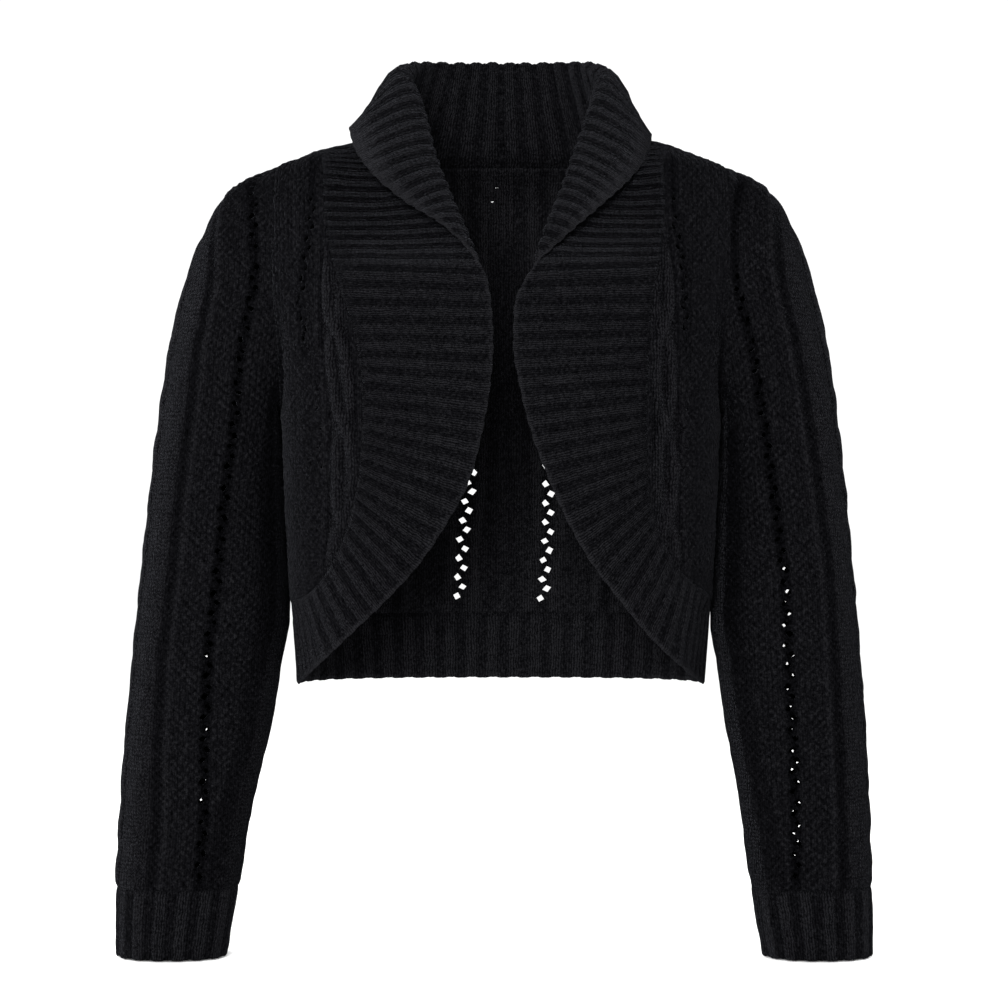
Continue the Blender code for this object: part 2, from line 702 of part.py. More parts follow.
bpy.context.scene.unit_settings.system = "METRIC"
for old in list(bpy.data.objects):
    bpy.data.objects.remove(old, do_unlink=True)
GARMENT = bpy.data.collections.new("knitted_shrug")
bpy.context.scene.collection.children.link(GARMENT)

strip, strip_out = collar_and_bands()
seam_out, seam_reach = strip_seam_out(strip_out)
strip_out[:, 0] = seam_out
strip_reach = np.ones(strip.shape[:2])
strip_reach[:, 0] = seam_reach
for end, z_sign in ((0, -1), (-1, 1)):
    strip_out[end] = unit(strip_out[end] * np.array([1.0, 0.0, 1.0]))
strip = clear_of_seam(strip, strip_out, column=0)
strip = clear_of_seam(strip, strip_out, row=0)
strip = clear_of_seam(strip, strip_out, row=-1)
cloth("collar_band", strip, strip_out, strip_reach)

back, back_out, rib_line = back_panel()
back_reach = np.ones(back.shape[:2])
middle_station = len(strip) // 2
neck = slice(middle_station - NECK_SEGMENTS, middle_station + NECK_SEGMENTS + 1)
back_out[0] = seam_out[neck][::-1]
back_reach[0] = seam_reach[neck][::-1]

for side, sign, column in (("right", 1, 0), ("left", -1, -1)):
    rings, sleeve_out, armhole_out, armhole_reach = blend_armhole(side)
    armhole_rows = slice(0, ARMHOLE_SEGMENTS + 1)
    facing = np.array([sign, 1.0, 1.0])

    # Back panel's share of this armhole.
    behind = np.concatenate([[0], np.arange(2 * ARMHOLE_SEGMENTS - 1, ARMHOLE_SEGMENTS - 1, -1)])
    back_rows = slice(SHOULDER_SEGMENTS, SHOULDER_SEGMENTS + ARMHOLE_SEGMENTS + 1)
    back_out[back_rows, column] = armhole_out[behind] * facing
    back_reach[back_rows, column] = armhole_reach[behind]

    panel, panel_out = front_panel(side)
    panel_reach = np.ones(panel.shape[:2])
    panel_out[armhole_rows, -1] = armhole_out[: ARMHOLE_SEGMENTS + 1]
    panel_reach[armhole_rows, -1] = armhole_reach[: ARMHOLE_SEGMENTS + 1]
    stations = (
        slice(middle_station + NECK_SEGMENTS, None)
        if side == "right"
        else slice(middle_station - NECK_SEGMENTS, None, -1)
    )
    panel_out[:, 0] = seam_out[stations] * facing
    panel_reach[:, 0] = seam_reach[stations]
    for edge in ({"column": 0}, {"column": -1}, {"row": 0}, {"row": -1}):
        panel = clear_of_seam(panel, panel_out, **edge)
    cloth(f"front_{side}", panel * facing, panel_out * facing, panel_reach)

    sleeve_out[0] = armhole_out
    reach = np.ones(rings.shape[:2])
    reach[0] = armhole_reach
    cuff = sleeve_rings(side, CUFF_ROW, len(SLEEVE) - 1, CUFF_SEGMENTS, 2 * ARMHOLE_SEGMENTS)
    cuff_out = ring_out(cuff)
    cuff_out[0] = sleeve_out[-1] = unit(cuff_out[0] + sleeve_out[-1])
    closed = np.concatenate([rings, rings[:, :1]], axis=1)
    closed_out = np.concatenate([sleeve_out, sleeve_out[:, :1]], axis=1)
    first_edge = np.vstack([rings[0, -1:], rings[0], rings[0, :1]])
    around = unit(first_edge[2:] - first_edge[:-2])
    inward = unit(np.cross(sleeve_out[0], around))
    if np.sum(inward * (rings[1] - rings[0])) < 0:
        inward = -inward
    rings[0] = rings[0] + inward * SEAM_GAP * 0.52
    rings[-1] = rings[-1] + unit(rings[-2] - rings[-1]) * SEAM_GAP * 0.52
    cuff[0] = cuff[0] + unit(cuff[1] - cuff[0]) * SEAM_GAP * 0.52
    cloth(f"sleeve_{side}", rings * facing, sleeve_out * facing, reach, tube=True)
    cloth(f"cuff_{side}", cuff * facing, cuff_out * facing, tube=True)

for edge in ({"column": 0}, {"column": -1}, {"row": 0}, {"row": -1}):
    back = clear_of_seam(back, back_out, **edge)
cloth("back", back, back_out, back_reach)

rib, rib_out = back_rib(rib_line)
for edge in ({"column": 0}, {"column": -1}, {"row": 0}):
    rib = clear_of_seam(rib, rib_out, **edge)
cloth("back_hem_rib", rib, rib_out)
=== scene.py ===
"""Knitted shrug: the looks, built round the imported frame.

Each knitted piece is a closed shell on its solid's own form, from the same
tables of sections, seams and folds. The outer face of a shell is a fine grid
and the inner face one with half as many rows and columns. Ribs, twists, moss
stitch and the rims of the eyelet holes are shape, and so are the holes; the
single stitches and the nap of the wool are bump.

Lengths are in millimetres until a mesh is made. +X is the right of the front
view, -Y the front and +Z up.
"""

import math  # noqa: E402

import bpy  # noqa: E402
import numpy as np  # noqa: E402
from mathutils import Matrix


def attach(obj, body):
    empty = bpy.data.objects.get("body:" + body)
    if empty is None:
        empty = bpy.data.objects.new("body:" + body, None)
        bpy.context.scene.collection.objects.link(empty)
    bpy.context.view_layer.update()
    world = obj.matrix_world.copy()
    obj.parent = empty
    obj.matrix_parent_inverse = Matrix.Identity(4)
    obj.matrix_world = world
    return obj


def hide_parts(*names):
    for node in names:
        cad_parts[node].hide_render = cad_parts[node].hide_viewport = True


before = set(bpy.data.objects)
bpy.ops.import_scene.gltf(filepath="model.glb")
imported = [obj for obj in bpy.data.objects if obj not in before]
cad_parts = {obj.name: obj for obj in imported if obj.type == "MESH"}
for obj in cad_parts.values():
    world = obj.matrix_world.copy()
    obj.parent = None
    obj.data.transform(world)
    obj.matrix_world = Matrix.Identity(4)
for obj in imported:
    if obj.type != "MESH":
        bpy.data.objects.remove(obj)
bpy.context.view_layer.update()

"""The form: the same constants, tables and surfaces as the solids have."""

MM = 0.001
WALL = 3.0  # thickness of the knit
SEAM_GAP = 0.3  # between two pieces that are sewn together
MOST_MITRE = 2.0  # how far a seam may reach where two pieces fold sharply
SIDE_Y = 6.0  # the side and shoulder seams lie in this plane
BODY_SQUARENESS = 2.6
SLEEVE_SQUARENESS = 2.15
QUARTER = math.pi / 2
EDGE_SHARE = 0.5  # the back's edges shape this much of its width from either side
EDGE_EASE = 1.2
EVEN_SHARE = 0.3  # how far its rows are spaced evenly, not as at its edges

ARMHOLE_SEGMENTS = 12  # on each of its two halves
SIDE_SEGMENTS = 6
SHOULDER_SEGMENTS = 3
NECK_SEGMENTS = 9  # on each half of the back neck
SLEEVE_RINGS = 17
BAND_COLUMNS = 12
WOOL_COLOUR = (0.012, 0.012, 0.014, 1.0)

# Outer face of the body: width to either side, and depth before and behind
# the side seams.
BODY_COLUMNS = ("z", "half_width", "front_depth", "back_depth")
BODY = (
    (22.0, 100.0, 4.0, 4.0),  # above the shoulders, for the form only
    (8.0, 124.0, 40.0, 50.0),
    (1.6, 137.5, 49.6, 61.0),  # inner end of the shoulder seam
    (-4.6, 151.5, 57.4, 70.0),  # back neck
    (-11.0, 165.5, 64.4, 78.0),  # top of the armhole
    (-17.0, 173.0, 70.0, 84.0),
    (-30.0, 178.0, 81.0, 94.0),
    (-50.0, 181.5, 93.5, 102.0),
    (-80.0, 183.0, 106.0, 106.0),
    (-110.0, 183.0, 112.0, 106.0),
    (-150.0, 179.0, 113.0, 104.0),
    (-203.0, 172.0, 112.0, 98.0),  # underarm
    (-280.0, 168.5, 104.0, 91.0),
    (-354.0, 164.0, 98.0, 88.0),  # point of the front panels
    (-417.0, 159.5, 96.0, 88.0),  # hem
)
RIB_TOP_Z = -364.0
HEM_Z = -417.0

# The armhole is an egg round the shoulder.
ARMHOLE = {"top": -13.0, "bottom": -203.0, "front": 50.0, "back": 56.0}

# Sleeve sections. Each lies in a plane through its outer and inner point,
# with a depth before and behind its own centre. The two sleeves don't hang
# quite alike: "spread" is added on -X and taken off on +X. "keep" is how much
# of the armhole's own unevenness the section still has.
SLEEVE_COLUMNS = (
    "outer_x", "outer_z", "inner_x", "inner_z", "front", "back", "centre_y",
    "outer_spread", "inner_spread", "keep",
)
SLEEVE = (
    (168.8, -13.0, 171.5, -203.0, 50.0, 56.0, 6.0, 0.0, 0.0, 1.00),  # armhole
    (190.5, -19.5, 174.8, -209.5, 53.0, 57.0, 8.0, 0.8, 0.0, 0.60),
    (214.0, -34.4, 174.6, -216.5, 56.0, 58.0, 11.0, 1.2, 0.0, 0.25),  # shoulder cap
    (231.3, -66.0, 173.9, -226.0, 57.0, 57.5, 14.0, 1.4, 0.0, 0.08),
    (245.3, -105.0, 172.6, -240.0, 56.0, 56.0, 16.5, 1.8, 0.0, 0.0),
    (256.3, -150.0, 171.4, -256.0, 54.0, 54.5, 19.0, 2.0, 0.0, 0.0),
    (264.3, -200.0, 170.2, -276.0, 52.0, 52.5, 21.0, 2.3, 0.0, 0.0),
    (270.6, -250.0, 168.8, -303.0, 50.5, 51.0, 22.0, 2.5, 0.0, 0.0),
    (276.3, -303.0, 166.8, -335.0, 49.5, 50.0, 22.0, 2.8, 0.2, 0.0),
    (281.3, -356.0, 165.4, -370.0, 49.0, 49.5, 20.0, 3.2, 1.0, 0.0),  # elbow
    (285.5, -408.0, 170.0, -408.0, 48.0, 48.5, 16.5, 3.6, 1.6, 0.0),
    (288.8, -455.0, 178.6, -455.0, 46.0, 46.0, 11.0, 4.1, 2.2, 0.0),
    (291.2, -507.0, 189.2, -507.0, 43.0, 43.0, 4.0, 4.8, 3.5, 0.0),
    (292.6, -546.0, 194.6, -546.0, 39.5, 39.5, -1.0, 5.1, 4.4, 0.0),
    (293.4, -573.0, 199.2, -573.0, 37.0, 37.0, -5.0, 5.4, 4.8, 0.0),  # top of the cuff
    (293.8, -600.0, 203.6, -600.0, 35.0, 35.0, -8.0, 5.4, 4.9, 0.0),
    (293.2, -626.0, 208.0, -626.0, 33.0, 33.0, -11.0, 5.2, 4.8, 0.0),  # end of the cuff
)
CUFF_ROW = 14  # the row of SLEEVE at which the cuff is sewn on
CUFF_SEGMENTS = 4

# Large folds of the sleeves: soft troughs, as places along the sleeve (0 to 1)
# and angles round it in degrees (0 outside, 90 front, 180 next to the body).
FOLD_COLUMNS = ("along", "angle", "depth", "length", "width")
SLEEVE_FOLDS = (
    (0.20, 128.0, 4.5, 0.075, 20.0),  # drag line from the underarm, in front
    (0.31, 112.0, 2.5, 0.050, 30.0),
    (0.22, 232.0, 4.5, 0.080, 20.0),  # and behind
    (0.57, 150.0, 3.0, 0.035, 34.0),  # inside of the elbow
    (0.65, 138.0, 2.5, 0.030, 38.0),
    (0.61, 215.0, 2.5, 0.032, 34.0),
    (0.84, 150.0, 2.0, 0.028, 36.0),  # where the sleeve meets the cuff
)

# The strip that makes the collar and the bands, one table for each side, from
# the centre back round the neck to where the collar's free edge runs into the
# front edge. The seam point is given by how far out and how high it is, and
# lies on the body. Roll is where the standing part turns over, and edge is
# the free edge of the part that falls. "hollow" is how far the standing part
# sinks below a straight line, "radius" that of the turn.
COLLAR_COLUMNS = (
    "seam_x", "seam_z", "roll_x", "roll_y", "roll_z",
    "edge_x", "edge_y", "edge_z", "hollow", "radius",
)
COLLAR = {
    "left": (
        (0.0, -4.0, 0.0, 70.0, 70.5, 0.0, 99.0, 12.0, 3.0, 7.0),  # centre back
        (62.0, -4.4, 42.0, 65.0, 70.0, 48.0, 94.0, 12.5, 3.5, 7.0),
        (104.0, -4.0, 67.5, 47.0, 64.0, 90.0, 76.0, 13.0, 5.0, 7.5),
        (129.0, -2.0, 72.5, 28.0, 52.5, 112.5, 45.0, 16.0, 7.0, 8.5),
        (137.0, 1.8, 68.5, 8.0, 33.0, 119.0, 10.0, 18.0, 8.0, 8.5),  # shoulder
        (138.0, -8.0, 63.0, -13.0, 10.0, 114.5, -20.0, 1.0, 9.0, 7.0),
        (136.7, -18.5, 58.0, -33.0, -13.0, 102.0, -50.0, -20.0, 8.0, 6.5),
        (134.7, -48.0, 46.0, -58.0, -42.0, 72.0, -78.0, -48.5, 6.0, 5.5),
        (131.0, -76.4, 29.0, -84.0, -75.0, 41.5, -96.0, -69.0, 3.0, 3.5),
    ),
    "right": (
        (0.0, -4.0, 0.0, 70.0, 70.5, 0.0, 99.0, 12.0, 3.0, 7.0),  # centre back
        (58.0, -4.4, 42.0, 65.0, 70.0, 48.0, 94.0, 12.5, 3.5, 7.0),
        (98.0, -4.0, 68.5, 47.0, 64.0, 89.0, 76.0, 12.0, 5.0, 7.5),
        (121.0, -1.0, 76.0, 28.0, 52.5, 112.0, 45.0, 12.0, 7.0, 8.0),
        (130.0, 5.4, 75.0, 8.0, 33.0, 118.0, 9.0, 12.5, 8.0, 8.0),  # shoulder
        (127.0, -6.0, 70.5, -13.0, 10.0, 115.0, -22.0, -4.0, 9.0, 7.0),
        (124.7, -19.1, 64.0, -33.0, -13.0, 100.0, -54.0, -27.0, 8.0, 6.5),
        (124.8, -48.5, 52.5, -58.0, -42.0, 77.0, -80.0, -50.0, 6.0, 5.5),
        (121.9, -76.7, 36.0, -84.0, -75.0, 47.5, -97.0, -77.0, 3.0, 3.5),
    ),
}

# The band below that point lies flat on the body, from its seam to the front
# edge, and each row is one knitted rib.
BAND_COLUMNS_NAMED = ("seam_x", "seam_z", "edge_x", "edge_z")
BAND = {
    "left": (
        (125.0, -102.0, 10.0, -107.0),
        (117.0, -127.0, 6.5, -130.0),
        (109.0, -154.0, 5.2, -157.0),
        (105.0, -182.0, 8.0, -191.0),
        (104.0, -211.0, 14.5, -227.0),
        (105.0, -231.0, 22.5, -257.0),
        (108.0, -258.0, 41.0, -292.0),
        (111.5, -276.0, 60.0, -320.0),
        (118.5, -300.0, 83.5, -346.0),
        (136.5, -333.0, 112.0, -373.0),
        (150.5, -346.0, 136.0, -395.5),
    ),
    "right": (
        (118.0, -102.0, 18.3, -107.0),
        (114.0, -127.0, 9.5, -129.0),
        (112.0, -153.0, 8.8, -157.0),
        (111.0, -182.0, 14.0, -190.0),
        (109.5, -211.0, 23.0, -225.0),
        (110.0, -233.0, 34.0, -254.0),
        (111.0, -258.0, 50.0, -290.0),
        (113.5, -275.0, 66.0, -318.0),
        (120.5, -297.0, 88.0, -347.0),
        (136.5, -326.0, 115.0, -379.0),
        (147.5, -336.0, 136.0, -398.5),
    ),
}
BAND_END = {"seam_z": -354.0, "edge_z": HEM_Z}  # both on the side seam
# How far along a rib each of the strip's nine control lines lies on the body.
BAND_SPACING = (0.0, 0.17, 0.34, 0.5, 0.63, 0.74, 0.83, 0.92, 1.0)
# The same where the collar's fall begins, and how many rows it takes to even out.
ROLL_SPACING = (0.0, 0.25, 0.49, 0.71, 0.88, 0.93, 0.95, 0.975, 1.0)
ROLL_ROWS = 3
FALL_BULGE = 0.09  # the falling part curves out by this part of its depth
FRONT_TIP = 0.12  # the front panel stops this part of a segment before its point


def smooth(xs, ys, at):
    """A curve through the points that never swings past them (monotone cubic)."""
    xs, ys = np.asarray(xs, float), np.asarray(ys, float)
    step = np.diff(xs)
    slope = np.diff(ys) / step
    tangent = np.empty_like(ys)
    tangent[0], tangent[-1] = slope[0], slope[-1]
    for k in range(1, len(xs) - 1):
        if slope[k - 1] * slope[k] <= 0:
            tangent[k] = 0.0
        else:
            before, after = 2 * step[k] + step[k - 1], step[k] + 2 * step[k - 1]
            tangent[k] = (before + after) / (before / slope[k - 1] + after / slope[k])
    at = np.clip(np.asarray(at, float), xs[0], xs[-1])
    k = np.clip(np.searchsorted(xs, at, side="right") - 1, 0, len(xs) - 2)
    t = (at - xs[k]) / step[k]
    return (
        ys[k] * (1 + 2 * t) * (1 - t) ** 2
        + tangent[k] * step[k] * t * (1 - t) ** 2
        + ys[k + 1] * t**2 * (3 - 2 * t)
        + tangent[k + 1] * step[k] * t**2 * (t - 1)
    )


def smooth_columns(xs, rows, at):
    """The same for every column of a table, or every coordinate of a row of points."""
    rows = np.asarray(rows, float)
    flat = rows.reshape(len(rows), -1)
    out = np.stack([smooth(xs, column, at) for column in flat.T], axis=-1)
    return out.reshape(np.shape(at) + rows.shape[1:])


def unit(vectors):
    length = np.linalg.norm(vectors, axis=-1, keepdims=True)
    return vectors / np.maximum(length, 1e-9)


def lengths(points):
    """Distance along a line of points, from 0 at the first to 1 at the last."""
    run = np.concatenate([[0.0], np.cumsum(np.linalg.norm(np.diff(points, axis=0), axis=1))])
    return run / run[-1]


# ---------------------------------------------------------------- the body

BODY_TABLE = np.array(BODY)


def body_section(z):
    return [smooth(-BODY_TABLE[:, 0], BODY_TABLE[:, c], -np.asarray(z, float)) for c in (1, 2, 3)]


def body_face(turn, z):
    """A point on the outer face of the body."""
    turn, z = np.broadcast_arrays(np.asarray(turn, float), np.asarray(z, float))
    width, front, back = body_section(z)
    across, ahead = np.sin(turn), np.cos(turn)
    round_off = (np.abs(across) ** BODY_SQUARENESS + np.abs(ahead) ** BODY_SQUARENESS) ** (
        1 / BODY_SQUARENESS
    )
    depth = np.where(ahead > 0, front, back)
    return np.stack(
        [width * across / round_off, SIDE_Y - depth * ahead / round_off, z], axis=-1
    )


def body_out(turn, z):
    """The direction straight out of the body at a point."""
    turn, z = np.broadcast_arrays(np.asarray(turn, float), np.asarray(z, float))
    along = body_face(turn + 1e-3, z) - body_face(turn - 1e-3, z)
    up = body_face(turn, z + 0.5) - body_face(turn, z - 0.5)
    return unit(np.cross(along, up))


def body_middle(turn, z):
    """A point halfway through the cloth of the body."""
    return body_face(turn, z) - 0.5 * WALL * body_out(turn, z)


def turn_at(x, z, behind=False):
    """The angle round the body of the point this far out at this height."""
    width, _, _ = body_section(z)
    out = np.clip(np.abs(x) / width, 0, 1)
    ahead = (1 - out**BODY_SQUARENESS) ** (1 / BODY_SQUARENESS)
    angle = np.arctan2(out, ahead)
    return np.pi - angle if behind else angle


def armhole_half(which, count):
    """(turn, z) from the top of the armhole to the underarm, on +X."""
    angle = np.linspace(0, np.pi, count + 1)
    middle = (ARMHOLE["top"] + ARMHOLE["bottom"]) / 2
    half = (ARMHOLE["top"] - ARMHOLE["bottom"]) / 2
    z = middle + half * np.cos(angle)
    _, front, back = body_section(z)
    depth = front if which == "front" else back
    ahead = np.clip(ARMHOLE[which] * np.sin(angle) / depth, 0, 1)
    out = (1 - ahead**BODY_SQUARENESS) ** (1 / BODY_SQUARENESS)
    turn = np.arctan2(out, ahead)
    return np.stack([turn if which == "front" else np.pi - turn, z], axis=-1)


def side_seam(top, bottom, count):
    z = np.linspace(top, bottom, count + 1)
    return np.stack([np.full_like(z, QUARTER), z], axis=-1)


def shoulder_seam(side):
    """(turn, z) from the neck to the top of the armhole."""
    z = np.linspace(COLLAR[side][4][1], ARMHOLE["top"], SHOULDER_SEGMENTS + 1)
    return np.stack([np.full_like(z, QUARTER), z], axis=-1)


def across_patch(top, bottom, first, last):
    """Rows from edge to edge, even in the middle and meeting the edges' own points."""
    rows, columns = len(first), len(top)
    v = np.linspace(0, 1, rows)[:, None, None]
    u = np.linspace(0, 1, columns)[None, :, None]
    fall = (first[:, 1] + last[:, 1]) / 2
    fall = ((fall[0] - fall) / (fall[0] - fall[-1]))[:, None, None]
    v = EVEN_SHARE * v + (1 - EVEN_SHARE) * fall
    even = (1 - v) * top[None] + v * bottom[None]
    near_first = np.clip(1 - u / EDGE_SHARE, 0, 1) ** EDGE_EASE
    near_last = np.clip(1 - (1 - u) / EDGE_SHARE, 0, 1) ** EDGE_EASE
    return (
        even
        + near_first * (first[:, None] - even[:, :1])
        + near_last * (last[:, None] - even[:, -1:])
    )


def patch(top, bottom, first, last):
    """A four-sided patch between its edges (Coons). first and last run downwards."""
    rows, columns = len(first), len(top)
    v = np.linspace(0, 1, rows)[:, None, None]
    u = np.linspace(0, 1, columns)[None, :, None]
    across = (1 - u) * first[:, None] + u * last[:, None]
    down = (1 - v) * top[None] + v * bottom[None]
    corners = (1 - v) * ((1 - u) * top[0] + u * top[-1]) + v * (
        (1 - u) * bottom[0] + u * bottom[-1]
    )
    return across + down - corners


# ------------------------------------------------- collar and front bands


def band_rows(side):
    """The strip's nine control lines at each row of the two tables, on +X."""
    rows = []
    seam = []
    body_turns = []
    for k, row in enumerate(COLLAR[side]):
        turn = QUARTER if k == 4 else float(turn_at(row[0], row[1], behind=k < 4))
        seam.append((turn, row[1]))
    for row in BAND[side]:
        seam.append((float(turn_at(row[0], row[1])), row[1]))
        body_turns.append((float(turn_at(row[2], row[3])), row[3]))
    seam.append((QUARTER, BAND_END["seam_z"]))
    body_turns.append((QUARTER, BAND_END["edge_z"]))
    seam = np.array(seam)
    seam_points = body_middle(seam[:, 0], seam[:, 1])
    collar = np.array(COLLAR[side])
    roll, edge = collar[:, 2:5], collar[:, 5:8]
    rolled = np.vstack([roll, body_middle(*body_turns[0])[None]])
    first_on_band = len(collar)
    for k in range(first_on_band):
        start, turn_over, end = seam_points[k], roll[k], edge[k]
        if k == 0:
            along = np.array([1.0, 0.0, 0.0])
        else:
            along = (seam_points[k + 1] - seam_points[k - 1]) + (rolled[k + 1] - rolled[k - 1])
        out = unit(np.cross(turn_over - start, along))
        middle = (start + turn_over) / 2
        if np.dot(out, middle - np.array([0.0, SIDE_Y, -150.0])) < 0:
            out = -out
        hollow, radius = collar[k, 8], collar[k, 9]
        bend = start + 0.55 * (turn_over - start) - 2 * hollow * out
        lean = unit(turn_over - bend)
        rows.append(
            [
                (1 - t) ** 2 * start + 2 * t * (1 - t) * bend + t**2 * turn_over
                for t in (0.0, 0.28, 0.54, 0.78, 1.0)
            ]
            + [
                turn_over + radius * lean,
                turn_over + radius * lean + 2 * radius * out,
                0.5 * (turn_over + 2.1 * radius * out)
                + 0.5 * end
                + FALL_BULGE * np.linalg.norm(end - turn_over) * out,
                end,
            ]
        )
    for k, (edge_turn, edge_z) in enumerate(body_turns):
        from_turn, from_z = seam[first_on_band + k]
        flat = min(1.0, k / ROLL_ROWS)
        part = flat * np.array(BAND_SPACING) + (1 - flat) * np.array(ROLL_SPACING)
        rows.append(
            body_middle(
                from_turn + part * (edge_turn - from_turn), from_z + part * (edge_z - from_z)
            )
        )
    return seam, np.array(rows)


def spline_weights(at, controls):
    """Weights of a clamped quadratic B-spline's control points, one row for each place."""
    spans = controls - 2
    knots = np.concatenate([[0, 0], np.arange(spans + 1), [spans, spans]]).astype(float)
    at = np.clip(np.asarray(at, float), 0, spans - 1e-9)
    base = [((at >= knots[k]) & (at < knots[k + 1])).astype(float) for k in range(len(knots) - 1)]
    for degree in (1, 2):
        raised = []
        for k in range(len(base) - 1):
            left_span = knots[k + degree] - knots[k]
            right_span = knots[k + degree + 1] - knots[k + 1]
            value = np.zeros_like(at)
            if left_span > 0:
                value = value + (at - knots[k]) / left_span * base[k]
            if right_span > 0:
                value = value + (knots[k + degree + 1] - at) / right_span * base[k + 1]
            raised.append(value)
        base = raised
    return np.stack(base, axis=-1)


def band_stations(side):
    """Places along the tables: NECK_SEGMENTS behind the shoulder seam, the rest below it."""
    seam, rows = band_rows(side)
    run = lengths(0.6 * rows[:, 0] + 0.4 * rows[:, -1])
    front = ARMHOLE_SEGMENTS + SIDE_SEGMENTS
    places = np.concatenate(
        [
            np.linspace(run[0], run[4], NECK_SEGMENTS + 1)[:-1],
            np.linspace(run[4], run[-1], front + 1),
        ]
    )
    return seam, rows, run, places


def band_half(side):
    """(seam as turn and z, middle surface) at every station, from the centre back down."""
    seam, rows, run, places = band_stations(side)
    seam_line = smooth_columns(run, seam, places)
    seam_line[NECK_SEGMENTS, 0] = QUARTER
    controls = smooth_columns(run, rows, places)
    controls[:, 0] = body_middle(seam_line[:, 0], seam_line[:, 1])
    places_across = np.linspace(0, 1, BAND_COLUMNS + 1)
    across = 7 * (places_across + 0.055 * np.sin(2 * np.pi * places_across))
    weights = spline_weights(across, 9)
    return seam_line, np.einsum("ck,skx->scx", weights, controls)


# ------------------------------------------------------------- the sleeves


def sleeve_rings(side, first, last, count, segments):
    """Middle surface of a sleeve on +X between two rows of SLEEVE, count rings after the first."""
    table = np.array(SLEEVE)
    outer, inner = table[:, 0:2], table[:, 2:4]
    run = lengths((outer + inner) / 2 + 0.25 * outer)
    rows = smooth_columns(run, table, np.linspace(run[first], run[last], count + 1))
    places = np.linspace(run[first], run[last], count + 1)
    spread = 1 if side == "left" else -1
    angle = 2 * np.pi * np.arange(segments) / segments
    rim = armhole_ring(segments)
    rings = []
    for place, row in zip(places, rows):
        outer_x, outer_z, inner_x, inner_z, front, back, centre_y = row[:7]
        outer_spread, inner_spread, keep = row[7:]
        top = np.array([outer_x + spread * outer_spread, centre_y, outer_z])
        low = np.array([inner_x + spread * inner_spread, centre_y, inner_z])
        across, ahead = np.cos(angle), np.sin(angle)
        round_off = (
            np.abs(across) ** SLEEVE_SQUARENESS + np.abs(ahead) ** SLEEVE_SQUARENESS
        ) ** (1 / SLEEVE_SQUARENESS)
        across, ahead = across / round_off, ahead / round_off
        trough = np.zeros(segments)
        for along, degrees, depth, length, width in SLEEVE_FOLDS:
            apart = np.abs((np.degrees(angle) - degrees + 180) % 360 - 180)
            trough += depth * np.exp(-(((place - along) / length) ** 2) - (apart / width) ** 2)
        shrink = 1 - trough / 50.0
        depth = np.where(ahead >= 0, front, back) - WALL / 2
        half = (top - low) / 2 * (1 - WALL / 2 / np.linalg.norm((top - low) / 2))
        ring = (top + low) / 2 + (across * shrink)[:, None] * half
        ring[:, 1] -= depth * ahead * shrink
        if keep > 0:
            plain = (top + low) / 2 + np.cos(angle)[:, None] * half
            plain[:, 1] -= depth * np.sin(angle)
            ring = ring + keep * (rim - (plain if keep > 0.999 else ring_like(rim, ring)))
        rings.append(ring if keep < 0.999 else rim.copy())
    return np.array(rings)


def ring_like(rim, ring):
    """The armhole's rim moved and stretched to lie as flat as the given ring."""
    flat = rim.copy()
    span = rim[:, 2].max() - rim[:, 2].min()
    part = (rim[:, 2].max() - rim[:, 2]) / span
    flat[:, 0] = rim[0, 0] + part * (rim[len(rim) // 2, 0] - rim[0, 0])
    return flat


def armhole_ring(segments):
    """The armhole as points of the sleeve: top, front, underarm, back."""
    half = segments // 2
    front = armhole_half("front", half)
    back = armhole_half("back", half)[::-1]
    both = np.vstack([front, back[1:-1]])
    return body_middle(both[:, 0], both[:, 1])


def ring_out(rings, closed=True):
    """Directions straight out of a tube of rings that run from outside by the front."""
    if closed:
        around = np.roll(rings, -1, axis=1) - np.roll(rings, 1, axis=1)
    else:
        around = np.gradient(rings, axis=1)
    along = np.gradient(rings, axis=0)
    out = unit(np.cross(around, along))
    centre = rings.mean(axis=1, keepdims=True)
    if np.sum(out * (rings - centre)) < 0:
        out = -out
    return out


def shared(one, other):
    """The direction halfway between two pieces' own, and how far the cloth reaches along it."""
    both = unit(one + other)
    lean = np.clip(np.sum(both * one, axis=-1), 1 / MOST_MITRE, 1)
    return both, 1 / lean


"""The knit: relief as height in millimetres over fabric coordinates, where
"across" is measured over the wales and "along" is measured with them."""

WALE = 4.2  # one column of stitches
COURSE = 3.1  # one row of stitches
THICK = 2.6  # of the plain cloth
HOLE_RADIUS = 2.15
HOLE_PITCH = 7.7
HOLE_SWAY = 2.25
BACK_HOLE = 2.95
SLEEVE_HOLE = 2.5


def step(x, width):
    """Softly from -1 to 1 round 0."""
    return np.tanh(np.asarray(x, float) / width)


def window(x, low, high, soft=1.2):
    """1 between low and high, 0 outside."""
    return 0.5 * (step(x - low, soft) - step(x - high, soft))


def wavy(a, b, seed, lengths_mm=((61.0, 83.0), (37.0, 52.0), (23.0, 31.0))):
    """A slow unevenness between about -1 and 1, the same each time."""
    total = np.zeros(np.broadcast(a, b).shape)
    for k, (one, two) in enumerate(lengths_mm):
        p = seed * 1.7 + k * 2.3
        total = total + (
            np.sin(2 * np.pi * a / one + p + 1.3 * np.sin(2 * np.pi * b / two + 2 * p))
            * np.cos(2 * np.pi * b / two + 1.9 * p)
        ) / (1.0 + 0.6 * k)
    return total / 1.6


def rib(phase):
    """Two knit wales up and two purl wales down in each period; knit at whole numbers."""
    off = np.abs(phase - np.round(phase))
    body = 0.22 + 0.36 * np.tanh((0.31 - off) / 0.07)
    single = np.cos(2 * np.pi * (off - 0.125) / 0.25)
    crease = np.exp(-(((off - 0.36) / 0.075) ** 2))
    return body + np.where(off < 0.3, 0.16, 0.08) * single - 0.72 * crease


